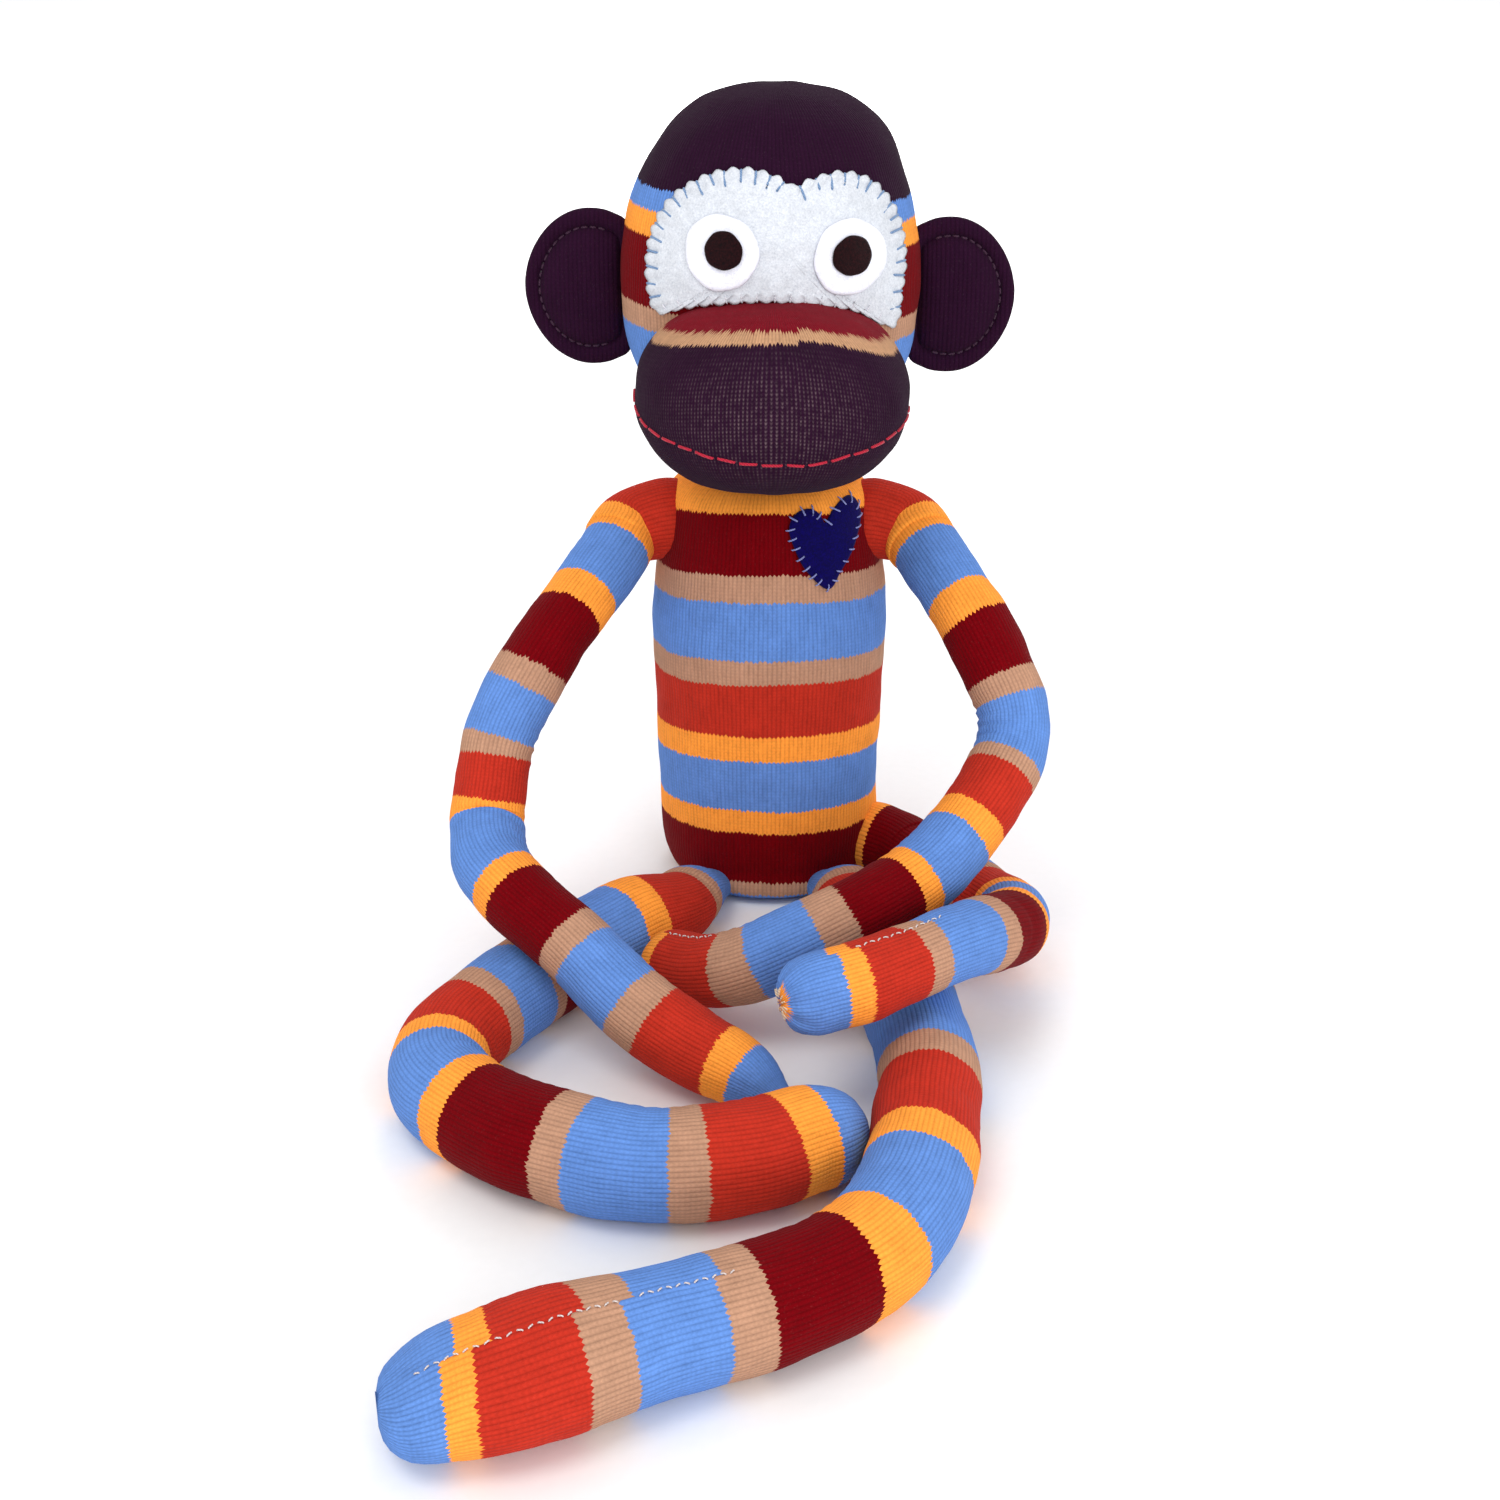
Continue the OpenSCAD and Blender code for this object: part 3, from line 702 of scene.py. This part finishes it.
left_ear, left_ear_stitch = ear("left_ear", -1, EAR_HEIGHT["left"])
right_ear, right_ear_stitch = ear("right_ear", 1, EAR_HEIGHT["right"])

# ---------------------------------------------------------------- limbs

left_arm, *_ = limb("left_arm", [
    (-51, -8, 137, 12.5), (-58, -26, 129, 12.5), (-70, -50, 118, 12.5), (-81, -66, 104, 12.5),
    (-92, -78, 85, 12.5), (-94.8, -86.7, 69, 12.5),
    (-96, -94, 58, 12.5), (-93, -111, 52, 12.5), (-81, -127, 46.8, 12.5), (-64, -142, 39, 12.5),
    (-45, -158, 27, 12.5), (-27, -168, 18, 12.5),
    (-10, -178, 13.5, 11), (0, -185, 9.5, 6.5), (5, -188, 8, 3.5)],
    [(-20, "red"), (3, "orange"), (13.4, "blue"), (38.3, "orange"), (49.9, "maroon"), (74, "tan"),
     (81.6, "blue"), (100, "tan"), (106.5, "red"),
     (122, "orange"), (130.8, "blue"), (159, "orange"), (167.6, "maroon"), (191.3, "tan"), (200, "blue"),
     (221.5, "tan"), (230.9, "red"),
     (256.7, "orange"), (265, "blue"), (300, "blue")], LIMB_WALES, (0, 0.5, -1), seed=1.0)

right_arm, ra, ra_out, ra_s = limb("right_arm", [
    (51, -8, 137, 12.5), (58, -22, 130, 12.5), (70, -45, 116, 12.5), (80, -56, 99, 12.5), (84.5, -62, 89, 12.5),
    (84.5, -67, 79.5, 12.5),
    (80, -76, 71, 12.5), (66, -95, 58, 12.5), (49, -115, 48.6, 12.5), (24, -133, 42, 12.5),
    (-4, -138, 30, 12.5), (-20, -129, 21.5, 12.5),
    (-32, -117, 17, 12)],
    [(-20, "red"), (2, "orange"), (12.7, "blue"), (38.1, "orange"), (49.2, "maroon"), (71, "tan"),
     (78.6, "blue"), (103, "tan"), (109.5, "red"),
     (129.9, "orange"), (138.3, "blue"), (160.7, "orange"), (170, "maroon"), (192.4, "tan"), (202, "blue"),
     (223.5, "tan"), (234.3, "red"),
     (261.6, "orange"), (280, "orange")], LIMB_WALES, (0, -0.1, 1), slip=(3.0, 215, 240), seed=2.0)

tail, ta, ta_out, ta_s = limb("tail", [
    (51, -20, 13.5, 13), (62, -38, 14, 13), (74, -62, 16, 13), (82, -92, 23, 12.8), (79, -119, 32, 12.6),
    (72.6, -131, 36.8, 12.4),
    (66, -142, 41.5, 12.3), (54, -158, 46.5, 12.1), (39, -172, 48, 12), (25, -182, 47.5, 12),
    (12, -186.5, 46, 11.7)],
    [(-20, "maroon"), (25, "tan"), (32, "blue"), (50, "tan"), (57, "red"), (76, "orange"), (83.5, "blue"),
     (102, "orange"),
     (109, "maroon"), (131, "tan"), (140, "blue"), (168, "tan"), (176, "red"), (195.5, "orange"), (202, "blue"),
     (219.5, "orange"), (240, "orange")],
    TAIL_WALES, (0, -0.1, 1), slip=(2.5, 150, 172), seed=3.0, puckers=0.8)

left_leg, *_ = limb("left_leg", [
    (-28.5, -50.2, 13, 12.9), (-36, -69, 15.4, 15.2), (-52, -88, 16, 16), (-72, -113, 15.8, 15.8),
    (-87.5, -137, 15.5, 15.5), (-98.5, -156.5, 15.3, 15.3),
    (-102.6, -172, 15.3, 15.3), (-100, -189.3, 15.5, 15.5), (-87, -205.3, 15.8, 15.8), (-66, -221, 16.3, 16.2),
    (-38, -231, 16.3, 16.2), (-9, -228, 16.1, 16.1),
    (10.5, -218, 16, 15.5)],
    [(-20, "blue"), (-1, "tan"), (9.5, "red"), (34.4, "orange"), (47, "blue"), (70, "orange"), (76, "maroon"),
     (91, "tan"), (97, "blue"),
     (115, "tan"), (123, "red"), (143.5, "orange"), (151, "blue"), (173.5, "orange"), (182.5, "maroon"),
     (212, "tan"), (221.5, "blue"), (246.5, "tan"),
     (256.5, "red"), (279, "orange"), (291.5, "blue"), (330, "blue")], LEG_WALES, (0, 0.2, -1), seed=4.0,
     slack=HIP_SLACK, blunt=1.12)

right_leg, rl, rl_out, rl_s = limb("right_leg", [
    (28.5, -50.2, 13, 12.9), (30.5, -64, 15, 14.8), (34, -80, 16, 15.8), (40, -115, 16, 16), (46, -155, 16, 16),
    (47.5, -185, 16, 16), (44.4, -209.7, 16, 16),
    (42, -226, 16, 16), (35, -252, 16, 16), (21, -275, 16, 16), (-4, -292, 16.2, 16.2), (-38, -307, 17, 16.7),
    (-64, -319, 18, 17.7),
    (-81, -323, 18, 17)],
    [(-20, "blue"), (-1, "tan"), (9, "red"), (32, "orange"), (42, "blue"), (64, "orange"), (73, "maroon"),
     (87, "tan"), (94.7, "blue"),
     (134, "tan"), (146, "red"), (176, "orange"), (189, "blue"), (221, "orange"), (235.5, "maroon"),
     (265, "tan"), (275.5, "blue"),
     (300.5, "tan"), (312.5, "red"), (335.5, "orange"), (343.5, "blue"), (390, "blue")], LEG_WALES,
     (0, -0.25, 1), slip=(-4.0, 262, 285), flat=(285, 1.12, 0.92), seed=5.0, blunt=0.95, toe=0.68,
     slope=(318, 0.22), slack=HIP_SLACK)


def join(name, points, bands, wales, seed=0.0, height=1.0):
    """The short sleeve of knit that sews a limb to the body"""
    line, s = course_of(points, 1.4)
    c, r = line[:, :3], line[:, 3]
    t = unit(np.gradient(c, axis=0))
    n = unit(np.cross(t, (0.0, 0.0, 1.0)))
    w = np.cross(n, t)
    cols = 64
    angle = np.arange(cols) / cols * 2 * math.pi
    d = np.cos(angle)[None, :, None] * n[:, None, :] + np.sin(angle)[None, :, None] * w[:, None, :]
    gather = 1 + 0.012 * np.sin(angle * 17 + seed)[None, :] * np.clip(1 - np.abs(s[:, None] - s[-1] * 0.3) / 5,
            0, 1)
    p = c[:, None, :] + d * (r[:, None] * gather)[..., None]
    p = p + d * (lumps(p, 0.05, seed) * 0.5)[..., None]
    p[..., 2] = np.maximum(p[..., 2] * height, 0.12)
    along = np.repeat(s[:, None], cols, 1)
    ob = skin(name, p, along, wales, knit(name + "_knit", bands), ((c[0] - t[0] * 2) * (1, 1, height), -2),
              ((c[-1] + t[-1] * 1.5) * (1, 1, height), s[-1] + 2))
    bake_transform(ob)
    return ob


join("left_shoulder_join", [(-29, -4, 140, 13), (-36, -4.5, 139.5, 14.6), (-44, -6, 138.6, 14), (-51, -9, 136.8,
        13.2), (-54.5, -16, 133.6, 12.9)],
     [(-5, "red"), (25, "orange"), (40, "orange")], LIMB_WALES,
     1.0)
join("right_shoulder_join", [(29, -4, 140, 13), (36, -4.5, 139.5, 14.6), (44, -6, 138.6, 14), (51, -9, 136.8,
        13.2), (54.5, -16, 133.6, 12.9)],
     [(-5, "red"), (24.5, "orange"), (40, "orange")], LIMB_WALES,
     2.0)
join("left_hip_join", [(-13, -23, 8, 7.6), (-19, -33, 7.4, 7), (-24, -41.5, 9.8, 9.6), (-28.5, -50.2, 13.1,
        13.1), (-31, -56.5, 14, 14)],
     [(-5, "blue"), (34.5, "tan"), (60, "tan")], 62, 3.0,
     0.77)
join("right_hip_join", [(13, -23, 8, 7.6), (19, -33, 7.4, 7), (24, -41.5, 9.8, 9.6), (28.5, -50.2, 13.1, 13.1),
                        (29.9, -56.5, 14.1, 14.1)],
     [(-5, "blue"), (34, "tan"), (60, "tan")], 62, 4.0,
     0.77)
join("tail_join", [(34, -9, 14.5, 13), (41, -12.5, 14.3, 14), (47, -16.5, 13.9, 13.6), (51, -20, 13.8, 13.3),
                   (55, -26, 13.8, 13.2)],
     [(-5, "orange"), (10.5, "maroon"), (60, "maroon")], 52,
     5.0)


def seam(name, p, out, along, spans, body, column=0, colour=("ece4e2", "b0a09c"), size=0.22, pitch=2.4):
    """White hand stitches that show here and there along a tube's seam"""
    t = Threads()
    s = along[:, 0]
    for a, b in spans:
        x = a
        while x < b:
            q = [np.array([np.interp(y, s, p[:, column, k]) for k in range(3)]) for y in (x, x + pitch * 0.55)]
            o = np.array([np.interp(x, s, out[:, column, k]) for k in range(3)])
            w = np.cross(unit(q[1] - q[0]), o) * (0.35 if int(x / pitch) % 2 else -0.35)
            t.stitch(q[0] + w, q[1] - w, o, size, 0.3, 0.25)
            x += pitch
    ob = t.build(name, thread_fibre(name + "_fibre", lin(colour[0]), lin(colour[1])))
    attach(ob, body)
    return ob


# ---------------------------------------------------------------- face and heart

def from_head(q):
    return unit(np.array((q[0], q[1], (q[2] - 226) * 0.8)))


def from_torso(q):
    return unit(np.array((q[0], q[1], 0.0)))


def from_muzzle(q):
    return unit((q - C) / (A * A))


head_tree = tree_of(head)
torso_tree = tree_of(torso)

# eye patch with its hand-sewn edge
patch_points = [(-38, 220), (-41, 231), (-39.5, 244), (-33, 256), (-21, 264), (-9, 266.5), (1, 264.5),
                (7, 261.5), (13, 263.5), (23, 265), (34, 260.5),
                (42, 249.5), (44.5, 237), (43.5, 226), (41, 214.5), (28, 221.5), (12, 225), (-4, 226),
                (-20, 224.5), (-30, 222)]
patch_centre = (1.5, 244)
ring, length = closed(patch_points, 0.8)
pitch = length / round(length / PATCH_STITCH)
where = np.arange(len(ring)) / len(ring) * length
inn = inward(ring, patch_centre)
ring = ring + inn * (1.15 * np.abs(np.cos(math.pi * where / pitch)) ** 2.5 - 0.5)[:, None]
patch_felt = felt_cloth("patch_felt_cloth", lin("e2e5eb"), lin("c2c7d0"), 0.2)
nip = np.abs(np.cos(math.pi * where / pitch)) ** 6
eye_patch = felt_piece("eye_patch_felt", ring, patch_centre, head_tree, from_head, 0.3, 1.3, patch_felt,
                       rings=26, nip=nip)
upper, lower = Threads(), Threads()
count = int(round(length / pitch))
for k in range(count):
    i = int(round(k * pitch / length * len(ring))) % len(ring)
    a, n = ring[i], inn[i]
    low = a[1] < 228.5 and -34 < a[0] < 38
    if a[1] < 221 and not low:
        continue
    j = 1 + 0.14 * math.sin(k * 2.7)
    lean = np.array((-n[1], n[0])) * 0.5 * math.sin(k * 1.9)
    if low:
        q = [a - n * 0.5, a + n * 2.6 * j]
    else:
        q = [a - n * 0.3, a + n * 4.3 * j + lean]
    top = [front(head_tree, *w) for w in q]
    (lower if low else upper).stitch(top[0] + from_head(top[0]) * 1.3, top[1] + from_head(top[1]) * 1.75,
                                     from_head(top[1]), 0.4 if not low else 0.33, 0.2, 0.6)
blue_thread = thread_fibre("patch_thread_fibre", lin("86a4c8"), lin("54709a"))
patch_stitch = upper.build("patch_edge_stitches", blue_thread)
patch_stitch_low = lower.build("patch_lower_stitches",
                               thread_fibre("white_thread_fibre", lin("f2f2f6"), lin("b4b6c4")))


def disc(name, x, z, r, lift, thick, material, seed, squash=1.0):
    a = np.linspace(0, 2 * math.pi, int(r * 9), endpoint=False)
    rr = r * (1 + 0.02 * np.sin(a * 3 + seed) + 0.012 * np.sin(a * 7 + seed * 2))
    outline = np.stack([x + rr * np.cos(a), z + rr * np.sin(a) * squash], axis=1)
    return felt_piece(name, outline, (x, z), head_tree, from_head, lift, thick, material, rings=9,
                      seed=seed), outline


eye_felt = felt_cloth("eye_felt_cloth", lin("f7f8fe"), lin("e4e6f6"), 0.2)
pupil_felt = felt_cloth("pupil_felt_cloth", lin("2a0c10"), lin("0c0306"), 0.15)
left_eye, left_eye_ring = disc("left_eye_disc", -15.5, 241, 11.5, 1.75, 1.3, eye_felt, 1.0)
right_eye, right_eye_ring = disc("right_eye_disc", 24.5, 239, 11.6, 1.75, 1.3, eye_felt, 2.0)
left_pupil, left_pupil_ring = disc("left_pupil_disc", -14.5, 241.5, 5.75, 3.2, 1.2, pupil_felt, 3.0)
right_pupil, right_pupil_ring = disc("right_pupil_disc", 24.4, 239.4, 6.0, 3.2, 1.2, pupil_felt, 4.0)

# mouth: a row of crimson backstitches over the muzzle
mouth_turn = [-86, -74, -61, -46, -29, -14, 1, 16, 31, 50, 66, 76, 86]
mouth_high = [197.5, 192, 188.8, 187.0, 184.8, 183.3, 182.3, 182.3, 184.4, 187.0, 189.0, 190.5, 191.5]


def on_muzzle(turn, high):
    a = math.radians(turn)
    aim = Vector((math.sin(a) * 46, -math.cos(a) * 46, 0)) * math.sqrt(max(0.05,
            1 - ((high - C[2]) / A[2]) ** 2))
    aim.z = high - C[2]
    return np.array(muzzle_tree.ray_cast(Vector(C), aim.normalized())[0])


muzzle_tree = tree_of(muzzle)
turns = np.linspace(mouth_turn[0], mouth_turn[-1], 240)
mouth_line = np.array([on_muzzle(a, np.interp(a, mouth_turn, mouth_high)) for a in turns])
mouth_s = np.r_[0, np.cumsum(np.linalg.norm(np.diff(mouth_line, axis=0), axis=1))]
mouth = Threads()
x, k = 0.0, 0
while x < mouth_s[-1] - 4:
    span = 6.3 + 0.7 * math.sin(k * 2.3)
    path = []
    for f in (0, 0.08, 0.25, 0.5, 0.75, 0.92, 1):
        s0 = x + span * f
        q = np.array([np.interp(s0, mouth_s, mouth_line[:, i]) for i in range(3)])
        q[2] += 0.25 * math.sin(k * 1.7) * (2 * f - 1)
        path.append(q + from_muzzle(q) * (0.22 if 0 < f < 1 else -0.5))
    mouth.add(path, 0.5)
    x += span + 1.1
    k += 1
mouth_stitch = mouth.build("mouth_stitches", thread_fibre("mouth_thread_fibre", lin("d81840"), lin("7c0618")))

# heart
heart_points = [(0, -15), (-8, -7), (-12.3, 2), (-13.6, 8), (-11.4, 12.3), (-7, 13.6), (-3.5, 11.9),
                (-1.3, 8.4), (1.8, 12.3), (6.2, 15), (10, 12.8),
                (11.4, 7), (8.8, -2.6), (4.4, -9.7)]
heart_centre = (19.5, 140.5)
ring_h, _ = closed([(20 + a, 138 + b) for a, b in heart_points], 0.7)
heart = felt_piece("heart_felt", ring_h, heart_centre, torso_tree, from_torso, 0.3, 1.3,
                   felt_cloth("heart_felt_cloth", lin("0d0560"), lin("060236"), 0.05), rings=11, seed=5.0)
inn_h = inward(ring_h, heart_centre)
whip = Threads()
for k in range(HEART_STITCHES):
    i = int(round(k / HEART_STITCHES * len(ring_h))) % len(ring_h)
    a, n = ring_h[i], inn_h[i]
    lean = np.array((-n[1], n[0])) * (0.5 + 0.3 * math.sin(k * 2.1))
    top = [front(torso_tree, *w) for w in (a - n * 1.1, a + n * 2.0 + lean)]
    whip.stitch(top[0] + from_torso(top[0]) * 0.1, top[1] + from_torso(top[1]) * 1.6, from_torso(top[1]), 0.3,
                0.75, 0.4)
heart_stitch = whip.build("heart_stitches", thread_fibre("heart_thread_fibre", lin("a8b0e8"), lin("5a62a8")))

# seams that show
seam("tail_seam", ta, ta_out, ta_s, [(163, 196)], "tail_end")
seam("right_hand_seam", ra, ra_out, ra_s, [(238, 262)], "right_forearm")
seam("right_foot_seam", rl, rl_out, rl_s, [(272, 296), (303, 352)], "right_shin")
cap = Threads()
i = int(np.argmin(np.abs(ta_s[:, 0] - 222)))
for j in range(0, 56, 4):
    cap.stitch(ta[i, j], ta[i - 1, j], ta_out[i, j], 0.3, 0.3, 0.2)
tail_cap = cap.build("tail_cap_stitching", thread_fibre("tail_cap_fibre", lin("f4e4cc"), lin("c8a070")))

# ---------------------------------------------------------------- what moves with what

for ob, a, b, start, end, nodes in (
    (left_arm, "left_arm", "left_forearm", (-93.5, -84, 74), (-95, -106, 53), ("left_arm", "left_forearm")),
    (right_arm, "right_arm", "right_forearm", (84.5, -66, 82), (72, -87, 63), ("right_arm", "right_forearm")),
    (left_leg, "left_thigh", "left_shin", (-101.5, -156, 16), (-104.5, -186, 16), ("left_thigh", "left_shin")),
    (right_leg, "right_thigh", "right_shin", (44.6, -211, 16), (38.5, -241, 16), ("right_thigh", "right_shin")),
    (tail, "tail_root", "tail_end", (73, -130, 36), (58, -153, 45.5), ("tail_root", "tail_end")),
):
    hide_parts(*[n + k for n in nodes for k in ("_cover", "_stuffing")])
    tuple(x * MM for x in start)
    tuple(x * MM for x in end)
    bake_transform(ob)

for ob, body, slot, nodes, pad in (
    (torso, "torso", "striped_knit", ("torso_cover", "torso_stuffing"), 0.8),
    (neck_thread, "neck", "neck_thread", ("neck_thread",), None),
    (head, "head", "crown_knit", ("head_cover", "head_stuffing"), 0.8),
    (muzzle, "head", "muzzle_knit", ("muzzle_cover", "muzzle_stuffing"), 0.8),
    (mouth_stitch, "head", "mouth_thread", ("mouth_stitching",), None),
    (eye_patch, "head", "patch_felt", ("eye_patch",), None),
    (patch_stitch, "head", "patch_thread", ("eye_patch_stitching",), None),
    (patch_stitch_low, "head", "patch_thread", (), None),
    (left_eye, "head", "eye_felt", ("left_eye_white",), None),
    (right_eye, "head", "eye_felt", ("right_eye_white",), None),
    (left_pupil, "head", "pupil_felt", ("left_pupil",), None),
    (right_pupil, "head", "pupil_felt", ("right_pupil",), None),
    (heart, "torso", "heart_felt", ("heart_patch",), None),
    (heart_stitch, "torso", "heart_thread", ("heart_stitching",), None),
    (left_ear_stitch, "left_ear", "ear_thread", ("left_ear_topstitch",), None),
    (right_ear_stitch, "right_ear", "ear_thread", ("right_ear_topstitch",), None),
    (tail_cap, "tail_end", "neck_thread", (), None),
):
    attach(ob, body)
    if nodes:
        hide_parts(*nodes)

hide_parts("neck_stuffing")
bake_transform(neck_gather)

for ob, side, k in ((left_ear, "left", -1), (right_ear, "right", 1)):
    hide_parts(side + "_ear_cover", side + "_ear_padding")
    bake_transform(ob)

for ob, outline, stitches in (
    (eye_patch, ring, [patch_stitch, patch_stitch_low]), (heart, ring_h, [heart_stitch]),
    (left_eye, left_eye_ring, []),
    (right_eye, right_eye_ring, []), (left_pupil, left_pupil_ring, []), (right_pupil, right_pupil_ring, []),
):
    w, h = np.ptp(outline[:, 0]) * MM, np.ptp(outline[:, 1]) * MM
    float(sheet_area(outline)) * CURVE_AREA
    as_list(stitches)

# ---------------------------------------------------------------- stage, light and camera

g = Graph("floor_paper", roughness=0.9, sheen=0.0, specular=0.1)
grain = g.noise(g.place(), 260.0, 3.0)
floor_mat = g.done(g.mix(grain, lin("f8f8f8"), lin("fdfdfd")), g.math("MULTIPLY_ADD", grain, 0.1, 0.85),
                   g.bump(grain, 0.05, 0.0005))
n = FLOOR_CELLS
grid = [((i / n - 0.5) * FLOOR_WIDTH, (j / n - 0.5) * FLOOR_WIDTH + 400,
         0.0) for i in range(n + 1) for j in range(n + 1)]
floor = new_mesh("floor", grid, [(i * (n + 1) + j, (i + 1) * (n + 1) + j, (i + 1) * (n + 1) + j + 1,
                                  i * (n + 1) + j + 1) for i in range(n) for j in range(n)], floor_mat)

world = bpy.data.worlds.new("studio")
world.use_nodes = True
world.node_tree.nodes["Background"].inputs[0].default_value = (1, 1, 1, 1)
world.node_tree.nodes["Background"].inputs[1].default_value = 0.88
scene.world = world
scene.view_settings.view_transform = "Standard"


def lamp(name, place, aim, size, power):
    data = bpy.data.lights.new(name, "AREA")
    data.shape = "DISK"
    data.size = size
    data.energy = power
    ob = bpy.data.objects.new(name, data)
    ob.location = place
    ob.rotation_euler = (Vector(aim) - Vector(place)).to_track_quat("-Z", "Y").to_euler()
    scene.collection.objects.link(ob)


lamp("key", (-0.6, -0.9, 1.9), (0, -0.1, 0.1), 1.0, 9)
lamp("fill", (0.6, -1.7, 0.7), (0, -0.1, 0.12), 1.2, 12.5)
lamp("back", (0.2, 1.4, 1.4), (0, 0, 0.15), 1.0, 8)
lamp("wash", (0, 3.2, 2.0), (0, 4.5, 0), 2.5, 160)

camera = bpy.data.objects.new("camera", bpy.data.cameras.new("camera"))
camera.location = (-0.007, -0.707, 0.346)
camera.rotation_euler = (math.radians(90 - CAMERA_DOWN), 0, 0)
camera.data.lens = 48
camera.data.sensor_width = 36
camera.data.clip_start = 0.02
scene.collection.objects.link(camera)
scene.camera = camera

bpy.context.view_layer.update()
